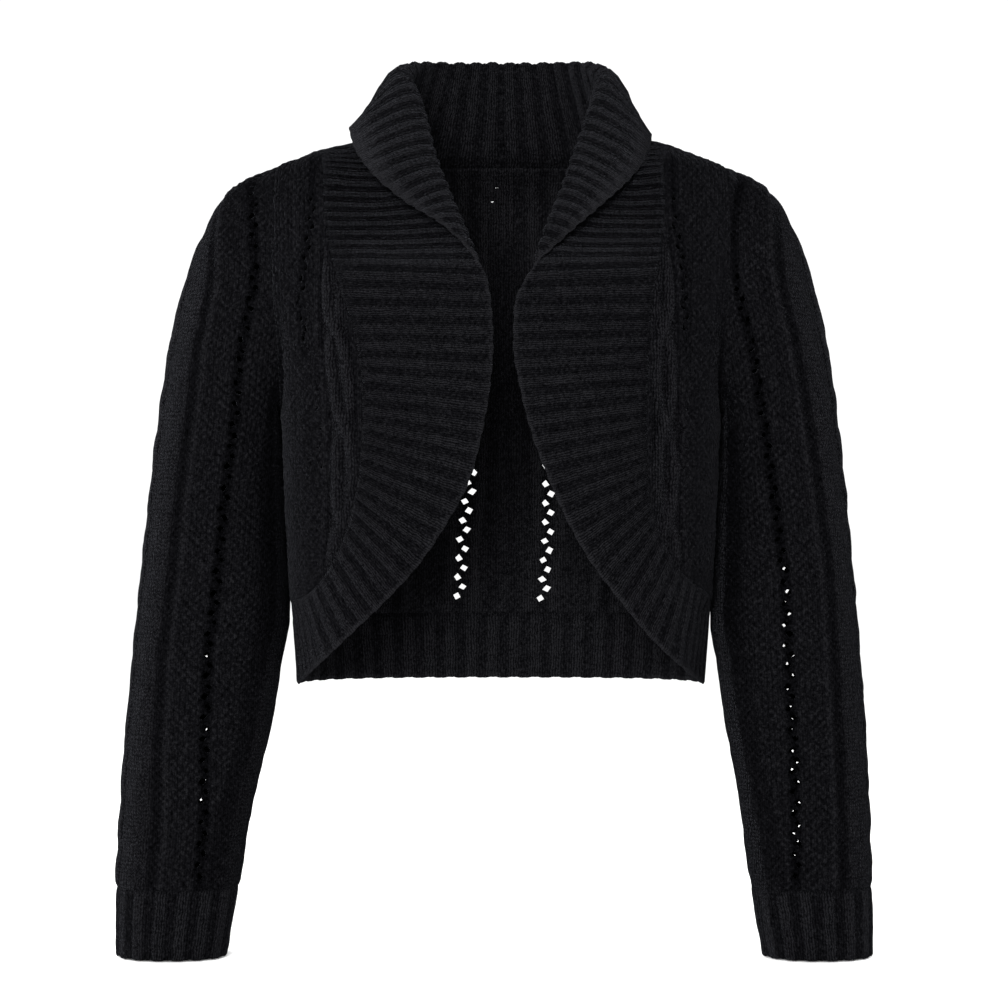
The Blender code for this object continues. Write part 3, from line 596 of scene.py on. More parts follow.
def both_ribs(phase, fade):
    """Relief and plainness of a ribbed cloth's inner face: it has its own ribs, between those
    of the outer face."""
    ribs = rib(phase + 0.5)
    return np.clip(ribs * fade, -1, 1), rib_stitch(ribs)


def rib_stitch(ribs):
    """How plain the stitches of a rib and of the hollow beside it are."""
    return np.clip(0.85 + 0.7 * ribs, 0.3, 1)


def wales(across):
    """Single wales side by side, as in plain knit."""
    return np.cos(2 * np.pi * across / WALE)


def moss(across, along):
    """Knots of moss stitch, set like a chessboard, none of them quite in its place."""
    short = ((17.0, 13.0), (11.0, 9.5))
    across, along = (
        across + 1.5 * wavy(across, along, 4.0, short),
        along + 1.5 * wavy(along, across, 6.0, short),
    )
    one = np.cos(2 * np.pi * across / (2 * WALE)) * np.cos(2 * np.pi * along / (2 * COURSE * 1.15))
    return 0.75 * one + 0.5 * np.cos(2 * np.pi * across / WALE)


def twist(across, along, half_width, turn, phase=0.0):
    """Two strands that cross over and under each other, round across = 0."""
    height = np.full(np.broadcast(across, along).shape, -1.0)
    radius = 0.56 * half_width
    for strand in (0.0, np.pi):
        angle = 2 * np.pi * along / turn + strand + phase
        centre = (half_width - radius) * np.cos(angle)
        over = 0.55 * np.sin(angle)
        inside = np.clip(1 - ((across - centre) / radius) ** 2, 0, 1)
        height = np.maximum(height, np.where(inside > 0, 1.6 * np.sqrt(inside) + over - 0.75, -1.0))
    return height


def arc_of_body():
    """A table of how far round the body each turn lies, at each height."""
    turn = np.linspace(0, np.pi, 721)
    z = np.linspace(-430, 12, 222)
    points = body_middle(*np.meshgrid(turn, z))
    steps = np.linalg.norm(np.diff(points[..., :2], axis=1), axis=-1)
    run = np.concatenate([np.zeros((len(z), 1)), np.cumsum(steps, axis=1)], axis=1)
    return turn, z, run


ARC_TURN, ARC_Z, ARC_RUN = arc_of_body()


def arc_at(turn, z):
    """Distance round the body from the centre front, level with the point."""
    turn, z = np.broadcast_arrays(np.asarray(turn, float), np.asarray(z, float))
    back = np.where(turn > np.pi, 2 * np.pi - turn, turn)
    i = np.clip((z - ARC_Z[0]) / (ARC_Z[1] - ARC_Z[0]), 0, len(ARC_Z) - 1.001)
    j = np.clip(back / (ARC_TURN[1] - ARC_TURN[0]), 0, len(ARC_TURN) - 1.001)
    i0, j0 = i.astype(int), j.astype(int)
    a, b = i - i0, j - j0
    run = (1 - a) * ((1 - b) * ARC_RUN[i0, j0] + b * ARC_RUN[i0, j0 + 1]) + a * (
        (1 - b) * ARC_RUN[i0 + 1, j0] + b * ARC_RUN[i0 + 1, j0 + 1]
    )
    whole = (1 - a) * ARC_RUN[i0, -1] + a * ARC_RUN[i0 + 1, -1]
    return np.where(turn > np.pi, 2 * whole - run, run)


def from_edges(points, closed):
    """Distance of every point of a grid to each of its edges, along the grid: first and last
    row, then first and last column."""
    down = np.linalg.norm(np.diff(points, axis=0), axis=-1)
    down = np.concatenate([np.zeros((1, points.shape[1])), np.cumsum(down, axis=0)], axis=0)
    if closed:
        far = np.full(points.shape[:2], 1e3)
        return down, down[-1:] - down, far, far
    over = np.linalg.norm(np.diff(points, axis=1), axis=-1)
    over = np.concatenate([np.zeros((points.shape[0], 1)), np.cumsum(over, axis=1)], axis=1)
    return down, down[-1:] - down, over, over[:, -1:] - over


def edge_round(distance, radius=1.8, least=0.3):
    """How much of its thickness the cloth has this near an edge."""
    t = np.clip(distance / radius, 0, 1)
    return least + (1 - least) * np.sqrt(1 - (1 - t) ** 2)


"""From points to closed shells."""


def open_holes(face, holes, shape, closed, seed):
    """Moves the points round each hole of the outer grid on to its rim.

    A hole is (row, column, size, down, over, lean): the rim is a worn diamond round a point
    that lies down rows and over columns from the grid's own, leaning one way or the other.
    """
    rows, columns = shape
    chance = np.random.default_rng(seed)
    moved = face.copy()
    for i, j, size, down_by, over_by, lean in holes:
        window_i = np.arange(max(i - 4, 0), min(i + 5, rows))
        window_j = np.arange(j - 4, j + 5)
        window_j = window_j % columns if closed else window_j[(window_j >= 0) & (window_j < columns)]
        here = face[i, j]
        right, left = face[i, (j + 1) % columns], face[i, (j - 1) % columns]
        up, down = face[min(i + 1, rows - 1), j], face[max(i - 1, 0), j]
        x_axis = unit(right - left)
        normal = unit(np.cross(right - left, up - down))
        y_axis = np.cross(normal, x_axis)
        away = face[np.ix_(window_i, window_j)] - here
        x, y = away @ x_axis, away @ y_axis
        # +1 where the local y runs up the garment, for holes that lean.
        rising = 1.0 if y_axis[2] > 0 else -1.0
        outward = 1.0 if x_axis[0] > 0 else -1.0
        angle = np.arctan2(y, x)
        # The four corners of the cut are turned until they stand on one of themselves.
        turned = lean - math.copysign(45.0, lean) if lean else 0.0
        tilt = math.radians(turned) * rising * outward
        wide = size * (1.1 + 0.12 * (chance.random() - 0.5))
        tall = size * (0.98 + 0.12 * (chance.random() - 0.5))
        corner = np.sin(2 * angle) ** 2  # 1 at the four corners, 0 between them
        goal = angle + tilt
        rim = (0.76 + 0.24 * corner) * (wide * np.cos(goal) ** 2 + tall * np.sin(goal) ** 2)
        rim = rim * (1 + 0.05 * np.cos(angle - 6.28 * chance.random()))
        di = np.abs(window_i - i)[:, None]
        dj = np.abs(((window_j - j + columns // 2) % columns) - columns // 2 if closed else window_j - j)
        ring = np.maximum(di, dj[None, :])
        near = np.maximum(ring, 1)
        distance = np.maximum(np.hypot(x, y), 1e-6)
        natural = distance / near
        goal_x, goal_y = rim * np.cos(angle + tilt), rim * np.sin(angle + tilt)
        shift = down_by * (up - down) / 2 + over_by * (right - left) / 2
        shift_x, shift_y = float(shift @ x_axis), float(shift @ y_axis)
        weight = np.choose(np.clip(ring, 0, 5), [1.0, 1.0, 0.68, 0.36, 0.12, 0.0])
        push_x = np.where(ring > 0, goal_x - natural * np.cos(angle), 0.0) + shift_x
        push_y = np.where(ring > 0, goal_y - natural * np.sin(angle), 0.0) + shift_y
        moved[np.ix_(window_i, window_j)] += (push_x * weight)[..., None] * x_axis
        moved[np.ix_(window_i, window_j)] += (push_y * weight)[..., None] * y_axis
    return moved


def shell(name, outer, inner, across, along, relief, closed=False, holes=(), plain=None, inside=-1.0, within=None):
    """A closed mesh from an outer grid of points and an inner one with half its rows and columns.

    across and along are the fabric coordinates of the outer grid, relief says how far each
    point stands up (-1 to 1), with painted highlights and painted shade added to it in places,
    and plain how much of the stitches' bump it takes. within is the same two for the inner
    face, where they differ.
    """
    rows, columns = outer.shape[:2]
    wide = columns if closed else columns - 1  # cells across
    high = rows - 1
    assert wide % 2 == 0 and high % 2 == 0, (name, rows, columns)
    inner_rows, inner_columns = inner.shape[:2]
    count_outer = rows * columns
    points = np.concatenate([outer.reshape(-1, 3), inner.reshape(-1, 3)])

    def at_outer(i, j):
        return i * columns + (j % columns)

    def at_inner(i, j):
        return count_outer + i * inner_columns + (j % inner_columns)

    gone_outer = np.zeros((high, wide), bool)
    gone_inner = np.zeros((high // 2, wide // 2), bool)
    for i, j, *_ in holes:
        i0, j0 = i - 1, (j - 1) % wide
        gone_outer[i0 : i0 + 2, j0 : j0 + 2] = True
        gone_inner[i0 // 2, j0 // 2] = True

    i, j = np.nonzero(~gone_outer)
    outer_quads = np.stack([at_outer(i, j), at_outer(i, j + 1), at_outer(i + 1, j + 1), at_outer(i + 1, j)], 1)
    outer_cells = np.stack([i, j], 1)
    i, j = np.nonzero(~gone_inner)
    inner_quads = np.stack([at_inner(i, j), at_inner(i + 1, j), at_inner(i + 1, j + 1), at_inner(i, j + 1)], 1)
    inner_cells = np.stack([i, j], 1)

    # Layout of the plain map: outer face on the left, inner face on the right.
    def map_outer(i, j):
        return np.stack([0.02 + 0.44 * np.asarray(j, float) / wide, 0.02 + 0.96 * np.asarray(i, float) / high], -1)

    def map_inner(i, j):
        return np.stack(
            [0.54 + 0.44 * np.asarray(j, float) / (wide / 2), 0.02 + 0.96 * np.asarray(i, float) / (high / 2)], -1
        )

    i, j = outer_cells.T
    outer_map = np.stack([map_outer(i, j), map_outer(i, j + 1), map_outer(i + 1, j + 1), map_outer(i + 1, j)], 1)
    i, j = inner_cells.T
    inner_map = np.stack([map_inner(i, j), map_inner(i + 1, j), map_inner(i + 1, j + 1), map_inner(i, j + 1)], 1)

    if closed:  # the coordinates after the last column
        step_over = np.linalg.norm(outer[:, 0] - outer[:, -1], axis=-1)
        across = np.concatenate([across, (across[:, -1] + step_over)[:, None]], axis=1)
        along = np.concatenate([along, along[:, :1]], axis=1)
    fabric = np.stack([across / WALE, along / COURSE], -1)

    def knit_outer(i, j):
        return fabric[i, j]

    i, j = outer_cells.T
    outer_knit = np.stack([knit_outer(i, j), knit_outer(i, j + 1), knit_outer(i + 1, j + 1), knit_outer(i + 1, j)], 1)
    i, j = inner_cells.T * 2
    inner_knit = np.stack([knit_outer(i, j), knit_outer(i + 2, j), knit_outer(i + 2, j + 2), knit_outer(i, j + 2)], 1)

    triangles, triangle_map, triangle_knit = [], [], []

    def wall(a, b, c, p, q, inward):
        """Joins two outer cells' edge a-b-c to the inner cell's edge p-q. Each is (row, column)
        on the outer grid; inward is where the inner points lie on the plain map."""
        ids = [at_outer(*a), at_outer(*b), at_outer(*c), at_inner(p[0] // 2, p[1] // 2), at_inner(q[0] // 2, q[1] // 2)]
        spots = [map_outer(*a), map_outer(*b), map_outer(*c), inward(map_outer(*p)), inward(map_outer(*q))]
        clothes = [fabric[v[0], v[1] if closed else v[1]] for v in (a, b, c, p, q)]
        for trio in ((0, 1, 3), (1, 4, 3), (1, 2, 4)):
            triangles.append([ids[k] for k in trio])
            triangle_map.append([spots[k] for k in trio])
            triangle_knit.append([clothes[k] for k in trio])

    def towards(dx, dy):
        return lambda spot: spot + np.array([dx, dy])

    for k in range(0, wide, 2):
        wall((0, k + 2), (0, k + 1), (0, k), (0, k + 2), (0, k), towards(0, -0.012))
        wall((high, k), (high, k + 1), (high, k + 2), (high, k), (high, k + 2), towards(0, 0.012))
    if not closed:
        for k in range(0, high, 2):
            wall((k, 0), (k + 1, 0), (k + 2, 0), (k, 0), (k + 2, 0), towards(-0.012, 0))
            wall((k + 2, wide), (k + 1, wide), (k, wide), (k + 2, wide), (k, wide), towards(0.012, 0))
    for i, j, *_ in holes:
        i0, j0 = i - 1, (j - 1) % wide
        middle_spot = map_outer(i0 + 1, j0 + 1)

        def shrink(spot, centre=middle_spot):
            return centre + 0.5 * (spot - centre)

        wall((i0 + 2, j0 + 2), (i0 + 2, j0 + 1), (i0 + 2, j0), (i0 + 2, j0 + 2), (i0 + 2, j0), shrink)
        wall((i0, j0), (i0, j0 + 1), (i0, j0 + 2), (i0, j0), (i0, j0 + 2), shrink)
        wall((i0 + 2, j0), (i0 + 1, j0), (i0, j0), (i0 + 2, j0), (i0, j0), shrink)
        wall((i0, j0 + 2), (i0 + 1, j0 + 2), (i0 + 2, j0 + 2), (i0, j0 + 2), (i0 + 2, j0 + 2), shrink)

    quads = np.concatenate([outer_quads, inner_quads])
    triangles = np.array(triangles, int).reshape(-1, 3)
    a, b, c, d = (points[quads[:, k]] for k in range(4))
    volume = np.einsum("ij,ij->", a, np.cross(b, c)) + np.einsum("ij,ij->", a, np.cross(c, d))
    a, b, c = (points[triangles[:, k]] for k in range(3))
    volume += np.einsum("ij,ij->", a, np.cross(b, c))
    loops = np.concatenate([quads.ravel(), triangles.ravel()])
    starts = np.concatenate(
        [np.arange(len(quads)) * 4, len(quads) * 4 + np.arange(len(triangles)) * 3]
    )
    plain_map = np.concatenate(
        [outer_map.reshape(-1, 2), inner_map.reshape(-1, 2), np.array(triangle_map).reshape(-1, 2)]
    )
    knit_map = np.concatenate(
        [outer_knit.reshape(-1, 2), inner_knit.reshape(-1, 2), np.array(triangle_knit).reshape(-1, 2)]
    )

    mesh = bpy.data.meshes.new(name)
    mesh.vertices.add(len(points))
    mesh.vertices.foreach_set("co", (points * MM).astype(np.float32).ravel())
    mesh.loops.add(len(loops))
    mesh.loops.foreach_set("vertex_index", loops.astype(np.int32))
    mesh.polygons.add(len(starts))
    mesh.polygons.foreach_set("loop_start", starts.astype(np.int32))
    mesh.update(calc_edges=True)
    mesh.polygons.foreach_set("use_smooth", np.ones(len(starts), bool))
    bake_uv = mesh.uv_layers.new(name="OFBake")
    bake_uv.data.foreach_set("uv", plain_map.astype(np.float32).ravel())
    knit_uv = mesh.uv_layers.new(name="knit")
    knit_uv.data.foreach_set("uv", knit_map.astype(np.float32).ravel())
    raised = mesh.attributes.new("relief", "FLOAT", "POINT")
    if plain is None:
        plain = np.ones(relief.shape)
    relief_within, plain_within = (inside * relief, plain) if within is None else within
    both = np.concatenate([relief.ravel(), relief_within[::2, ::2].ravel()])
    raised.data.foreach_set("value", both.astype(np.float32))
    flat = mesh.attributes.new("plain", "FLOAT", "POINT")
    both = np.concatenate([plain.ravel(), plain_within[::2, ::2].ravel()])
    flat.data.foreach_set("value", both.astype(np.float32))
    if volume < 0:  # so that every face looks out of the cloth
        mesh.flip_normals()
    mesh.validate()
    piece = bpy.data.objects.new(name, mesh)
    bpy.context.scene.collection.objects.link(piece)
    return piece


"""Sewn edges."""


SEAM_MEET = -0.25  # each of two sewn edges passes the seam by this much


def clear_of_seam(points, out, row=None, column=None):
    """Moves one edge of a grid on by its share of the seam, square to it."""
    edge = (row, slice(None)) if row is not None else (slice(None), column)
    if row is not None:
        beside = (1 if row == 0 else -2, slice(None))
    else:
        beside = (slice(None), 1 if column == 0 else -2)
    along = unit(np.gradient(points[edge], axis=0))
    inward = unit(np.cross(out[edge], along))
    if np.sum(inward * (points[beside] - points[edge])) < 0:
        inward = -inward
    moved = points.copy()
    moved[edge] = points[edge] + inward * SEAM_MEET
    return moved


"""The pieces."""

EYE = 2300.0  # the eyelet lines are read from the front, as seen from this far


def seen_from_front(points):
    """Where a point appears on the plane y = 0."""
    scale = EYE / (EYE + points[..., 1])
    return np.stack(
        [2.34 + (points[..., 0] - 2.34) * scale, -276.0 + (points[..., 2] + 276.0) * scale], axis=-1
    )


def two_faces(middle, out, lift, thick, edge, inner_lift=None):
    """Outer grid and inner half-grid."""
    inner_lift = lift if inner_lift is None else inner_lift
    outer = middle + out * (lift + 0.5 * thick * edge)[..., None]
    inner = middle + out * (inner_lift - 0.5 * thick * edge)[..., None]
    return outer, inner[::2, ::2]


def place_hole(grid, point, margin=6, mask=None):
    """(row, column, rows down, columns over, how far off) for a hole at this place of the
    fabric: the nearest odd row and column, and the rest in parts of a cell."""
    rows, columns = grid.shape[:2]
    part = grid[1:rows:2, 1:columns:2]
    away = np.linalg.norm(part - point, axis=-1)
    if mask is not None:
        away = np.where(mask[1:rows:2, 1:columns:2], away, 1e6)
    away[: margin // 2] = 1e6
    away[-(margin // 2) :] = 1e6
    i, j = np.unravel_index(int(np.argmin(away)), away.shape)
    far = float(away[i, j])
    i, j = 2 * int(i) + 1, 2 * int(j) + 1
    down = (grid[i + 1, j] - grid[i - 1, j]) / 2
    over = (grid[i, (j + 1) % columns] - grid[i, j - 1]) / 2
    rest = np.asarray(point) - grid[i, j]
    det = down[0] * over[1] - down[1] * over[0]
    down_by = (rest[0] * over[1] - rest[1] * over[0]) / det
    over_by = (down[0] * rest[1] - down[1] * rest[0]) / det
    return i, j, float(np.clip(down_by, -1.1, 1.1)), float(np.clip(over_by, -1.1, 1.1)), far


def apart(holes, i, j, columns=None):
    """Whether a new hole is clear of the others on the grid."""
    for a, b, *_ in holes:
        gap = abs(b - j)
        if columns is not None:
            gap = min(gap, columns - gap)
        if abs(a - i) < 4 and gap < 4:
            return False
    return True


def ring_height(middle, holes, closed):
    """The raised yarn round each hole."""
    rows, columns = middle.shape[:2]
    height = np.zeros((rows, columns))
    for i, j, size, *_ in holes:
        window_i = np.arange(max(i - 5, 0), min(i + 6, rows))
        window_j = np.arange(j - 5, j + 6)
        window_j = window_j % columns if closed else window_j[(window_j >= 0) & (window_j < columns)]
        away = np.linalg.norm(middle[np.ix_(window_i, window_j)] - middle[i, j], axis=-1)
        bump = 0.55 * np.exp(-(((away - size - 1.1) / 1.1) ** 2)) - 0.5 * np.exp(-((away / size) ** 4))
        place = np.ix_(window_i, window_j)
        height[place] = np.where(np.abs(bump) > np.abs(height[place]), bump, height[place])
    return height


"""The ribbed strip: collar and bands."""

# Width of a rib on the middle of the strip, from the centre back (0) to the
# side seam (1).
RIB_COLUMNS = ("place", "width")
BAND_RIBS = ((0.0, 13.5), (0.24, 13.0), (0.36, 12.0), (0.48, 11.8), (0.56, 13.6), (0.72, 14.4), (0.86, 14.0), (1.0, 13.6))
BAND_SAMPLES = 16  # grid lines to each rib
BAND_CELLS = 46  # across the strip


def band_at(side, places, cells):
    seam, rows = band_rows(side)
    run = lengths(0.6 * rows[:, 0] + 0.4 * rows[:, -1])
    seam_line = smooth_columns(run, seam, places)
    controls = smooth_columns(run, rows, places)
    controls[:, 0] = body_middle(seam_line[:, 0], seam_line[:, 1])
    over = np.linspace(0, 1, cells + 1)
    weights = spline_weights(7 * (over + 0.055 * np.sin(2 * np.pi * over)), 9)
    return seam_line, np.einsum("ck,skx->scx", weights, controls)


def soften(grid, times, axis=0):
    """Evens a grid out along one axis, leaving its first and last places."""
    for _ in range(times):
        moved = grid.copy()
        body = [slice(None)] * grid.ndim
        before, after = list(body), list(body)
        body[axis], before[axis], after[axis] = slice(1, -1), slice(0, -2), slice(2, None)
        moved[tuple(body)] = (
            0.25 * grid[tuple(before)] + 0.5 * grid[tuple(body)] + 0.25 * grid[tuple(after)]
        )
        grid = moved
    return grid


def band_side(side):
    """Fine grid of one half, and the rib phase of every station."""
    coarse = np.linspace(0, 1, 1601)
    _, grid = band_at(side, coarse, 8)
    line = 0.5 * (grid[:, 4] + grid[:, 5])
    steps = np.linalg.norm(np.diff(line, axis=0), axis=1)
    table = np.array(BAND_RIBS)
    width = np.interp((coarse[1:] + coarse[:-1]) / 2, table[:, 0], table[:, 1])
    phase = np.concatenate([[0.0], np.cumsum(steps / width)])
    ribs = int(round(phase[-1]))
    phase *= ribs / phase[-1]
    wanted = np.arange(ribs * BAND_SAMPLES + 1) / BAND_SAMPLES
    places = np.interp(wanted, phase, coarse)
    seam_line, fine = band_at(side, places, BAND_CELLS)
    return seam_line, fine, wanted, places


def make_band():
    right_seam, right, right_phase, right_places = band_side("right")
    left_seam, left, left_phase, left_places = band_side("left")
    strip = np.vstack([mirrored(left)[::-1], right[1:]])
    phase = np.concatenate([left_phase[::-1], right_phase[1:]])
    place = np.concatenate([left_places[::-1], right_places[1:]])
    centre = len(left) - 1
    strip = np.concatenate([strip[:, :1], soften(strip[:, 1:], 14)], axis=1)
    out = unit(np.cross(np.gradient(strip, axis=0), np.gradient(strip, axis=1)))
    if out[centre, 0, 1] < 0:
        out = -out
    out = unit(soften(soften(out, 6), 3, axis=1))
    first, last, seam, free = from_edges(strip, False)
    width = seam[:, -1:]
    fade = np.clip(seam / 5.0, 0, 1) * np.clip(0.45 + free / 9.0, 0, 1)
    ends = np.clip(np.minimum(first, last) / 5.0, 0, 1)
    ribs = rib(phase)[:, None] * np.ones_like(seam)
    lift = 0.95 * ribs * fade * ends
    ribs_within, plain_within = both_ribs(phase[:, None] * np.ones_like(seam), fade)
    lift_within = -1.15 * ribs_within * ends
    along_mm = seam
    across_mm = phase[:, None] * 4 * WALE * np.ones_like(seam)
    slow = wavy(seam * 1.0, place[:, None] * 640.0 * np.sign(np.arange(len(strip)) - centre + 0.5)[:, None], 3.0)
    lift = lift + 0.55 * slow * fade * ends
    lift_within = lift_within + 0.55 * slow * fade * ends
    edge = np.minimum(
        np.minimum(edge_round(seam, 1.4, 0.7), edge_round(free, 2.6, 0.25)),
        np.minimum(edge_round(first, 1.4, 0.7), edge_round(last, 1.4, 0.7)),
    )
    # A chain of stitches closes the free edge.
    chain = np.exp(-(((free - 2.6) / 1.8) ** 2)) * (0.35 + 0.2 * np.cos(2 * np.pi * phase[:, None] * 4))
    strip = clear_of(strip, out, ("column", 0))
    outwards = unit(strip[:, -1:] - strip[:, -3:-2])
    strip = strip + outwards * (0.55 * (ribs - ribs.max()) * np.exp(-((free / 6.0) ** 2)))[..., None]
    outer, inner = two_faces(strip, out, lift, THICK, edge, lift_within)
    outer = outer + out * (chain * 0.6)[..., None]
    # The free edge is painted lighter, on both faces: a painted highlight where the turned edge catches the light.
    rim = 2.3 * np.exp(-((free / 2.2) ** 2))
    relief = np.clip(0.72 * ribs * fade, -1, 1) + rim
    # The part under the falling collar is painted darker: painted shade from the fall above it.
    height = strip[..., 2]
    relief -= 0.85 * window(height, -88.0, 300.0, 5.0) * (0.6 + np.clip((height + 80.0) / 60.0, 0, 1))
    # The inner face takes the same painted highlight along the free edge.
    ribs_within = 0.75 * ribs_within + rim
    piece = shell(
        "collar_band_knit", outer, inner, across_mm, along_mm, relief,
        plain=rib_stitch(ribs), within=(ribs_within, plain_within),
    )
    return piece, strip, seam, width


def clear_of(points, out, edge):
    """Moves one edge of a grid back by half the seam's gap."""
    kind, index = edge
    return clear_of_seam(points, out, **{kind: index})


def mirrored(points):
    return points * np.array([-1.0, 1.0, 1.0])


"""The armhole, where body and sleeve are joined."""

FILLET = 26.0  # the corner between them is rounded over this much of either
MOST_FILL = 4.5


def armhole_frame(side, count):
    """For every place round the armhole: the direction that both pieces share there, how far
    the cloth reaches along it, and how much it stands out to round off the corner."""
    rings = sleeve_rings(side, 0, CUFF_ROW, SLEEVE_ROWS, 2 * count)
    own = ring_normals(rings)[0]
    front, back = armhole_half("front", count), armhole_half("back", count)[::-1]
    both = np.vstack([front, back[1:-1]])
    body = body_out(both[:, 0], both[:, 1])
    direction, reach = shared(body, own)
    onward = unit(rings[1] - rings[0])
    bend = np.arccos(np.clip(np.sum(body * own, axis=-1), -1, 1))
    hollow = -np.sign(np.sum((own - body) * onward, axis=-1))
    fill = np.clip(FILLET * np.tan(bend / 2) / 2, 0, MOST_FILL) * hollow
    angle = np.abs((np.arange(2 * count) + count) % (2 * count) - count) / count  # 0 top, 1 under
    fill *= np.clip(angle / 0.1, 0, 1) * np.clip((0.62 - angle) / 0.25, 0, 1)
    fill = np.convolve(np.concatenate([fill[-6:], fill, fill[:6]]), np.ones(13) / 13, mode="valid")
    return direction, reach, fill


def near_armhole(out, fill, rows, distance, direction, height):
    """Turns a panel's directions to the shared ones near its armhole edge, and rounds it."""
    weight = np.exp(-((distance[rows] / 7.0) ** 2))[..., None]
    out[rows] = unit(out[rows] * (1 - weight) + direction[:, None] * weight)
    fill[rows] += height[:, None] * np.clip(1 - distance[rows] / FILLET, 0, 1) ** 2


"""The back and its hem."""

BACK_HALF = 150  # cells on each side of the centre
BACK_ROWS = (14, 132, 102)  # shoulder, armhole, side
# Middle of each column of eyelets, as distance to +X from the centre back.
BACK_EYELETS = {
    "left": ((-20.0, -22.0), (-200.0, -24.0), (-255.0, -24.5), (-300.0, -31.0), (-364.0, -34.5)),
    "right": ((-20.0, 34.0), (-200.0, 38.0), (-255.0, 38.5), (-300.0, 38.0), (-364.0, 33.0)),
}


def neck_line(side, count):
    seam, rows = band_rows(side)
    run = lengths(0.6 * rows[:, 0] + 0.4 * rows[:, -1])
    line = smooth_columns(run, seam, np.linspace(run[0], run[4], count + 1))
    line[-1, 0] = QUARTER
    return line


def edge_line(side, which, counts):
    """Shoulder, armhole and side seam of a panel, as (turn, z)."""
    shoulder, armhole, below = counts
    z = np.linspace(COLLAR[side][4][1], ARMHOLE["top"], shoulder + 1)
    top = np.stack([np.full_like(z, QUARTER), z], axis=-1)
    bottom_z = RIB_TOP_Z if which == "back" else BAND_END["seam_z"]
    return np.vstack(
        [top[:-1], armhole_half(which, armhole), side_seam(ARMHOLE["bottom"], bottom_z, below)[1:]]
    )


def make_back():
    flip, full = np.array([[-1.0, 1.0]]), np.array([[2 * np.pi, 0.0]])
    top = np.vstack(
        [neck_line("right", BACK_HALF)[::-1], (neck_line("left", BACK_HALF) * flip + full)[1:]]
    )
    first = edge_line("right", "back", BACK_ROWS)
    last = edge_line("left", "back", BACK_ROWS) * flip + full
    bottom = np.stack(
        [np.linspace(QUARTER, 3 * QUARTER, len(top)), np.full(len(top), RIB_TOP_Z)], axis=-1
    )
    places = across_patch(top, bottom, first, last)
    turn, z = places[..., 0], places[..., 1]
    middle, out = body_middle(turn, z), body_out(turn, z)
    s = arc_at(np.pi, z) - arc_at(turn, z)  # to +X from the centre back
    t = -z
    rows, columns = turn.shape
    above, below, right, left = from_edges(middle, False)
    near = np.minimum(np.minimum(above, below), np.minimum(right, left))
    fade = np.clip(near / 3.0, 0, 1)
    fill = np.zeros(turn.shape)
    count = BACK_ROWS[1]
    behind = np.concatenate([[0], np.arange(2 * count - 1, count - 1, -1)])
    beside = slice(BACK_ROWS[0], BACK_ROWS[0] + count + 1)
    for name, sign, distance in (("right", 1, right), ("left", -1, left)):
        direction, _, height = armhole_frame(name, count)
        facing = np.array([sign, 1.0, 1.0])
        near_armhole(out, fill, beside, distance, direction[behind] * facing, height[behind])

    holes = []
    fabric = np.stack([s, t], axis=-1)
    lines = {}
    for name, table in BACK_EYELETS.items():
        table = np.array(table)
        lines[name] = np.interp(z, table[::-1, 0], table[::-1, 1])
        lowest = -352.5 if name == "right" else -350.9
        for k, height in enumerate(np.arange(lowest, -232.0, HOLE_PITCH)):
            side_on = 1 if k % 2 == 0 else -1
            at = float(np.interp(height, table[::-1, 0], table[::-1, 1])) - side_on * HOLE_SWAY
            i, j, down, over, away = place_hole(fabric, (at, -height))
            if away < 3 and apart(holes, i, j):
                holes.append((i, j, BACK_HOLE, down, over, -14 * side_on))
    # A few more single ones high up in the middle.
    for at, height, size in ((-3.4, -18.8, 1.7), (-7.4, -29.4, 1.4)):
        i, j, down, over, away = place_hole(fabric, (at, -height))
        if away < 3 and apart(holes, i, j):
            holes.append((i, j, size, down, over, 0.0))

    near_left, near_right = s - lines["left"], s - lines["right"]
    beside = np.minimum(np.abs(near_left), np.abs(near_right))
    middle_s = 0.5 * (lines["left"] + lines["right"])
    half = 0.5 * (lines["right"] - lines["left"])
    from_middle = np.abs(s - middle_s)
    seed = window(from_middle, -1, half - 13.5)
    inner_rib = window(from_middle, half - 13.5, half - 5.0, 0.8)
    outer_side = from_middle - half
    lift = 0.0 * s
    lift += seed * (0.42 * moss(s, t) - 0.2)
    lift += inner_rib * (0.55 + 0.4 * wales(s))
    lift += window(outer_side, 5.0, 13.0, 0.8) * (0.55 + 0.4 * wales(s))
    lift += -0.5 * np.exp(-((beside / 4.5) ** 2))
    panel, plain = side_panels(outer_side - 13.0, t, 0.6)
    lift += window(outer_side, 13.0, 400.0) * panel
    holes_ring = ring_height(middle, holes, False)
    # Three ribs run down the middle of the yoke.
    yoke = window(t, -60.0, 62.0, 9.0)
    yoke = yoke * window(np.abs(s - 1.8), -9.0, 9.2, 0.7)
    lift += yoke * (0.45 + 0.75 * np.cos(2 * np.pi * (s - 1.8) / 5.9))
    beside_eyelets = window(from_middle, half - 13.5, half - 5.0, 0.8) + window(outer_side, 5.0, 13.0, 0.8)
    plain = np.maximum(plain, np.clip(yoke + beside_eyelets, 0, 1))
    relief = np.clip(lift * fade, -1, 1)
    slow = 0.6 * wavy(s, t, 1.0) * fade
    lift = lift * fade
    edge = edge_round(near, 1.4, 0.85)
    for which in (("column", 0), ("column", -1), ("row", 0), ("row", -1)):
        middle = clear_of(middle, out, which)
    outer, inner = two_faces(middle, out, lift + slow + fill + holes_ring, THICK, edge, slow + fill - 0.8 * lift)
    outer = open_holes(outer, holes, (rows, columns), False, 11)
    inner = open_inner(inner, outer, middle, out, holes, False)
    # The inner face is painted lighter by 0.55: painted light against the shade inside the back.
    within = (relief + 0.55, np.clip(plain + 0.25, 0, 1))
    piece = shell("back_knit", outer, inner, s, t, relief, False, holes, plain, within=within)
    return piece


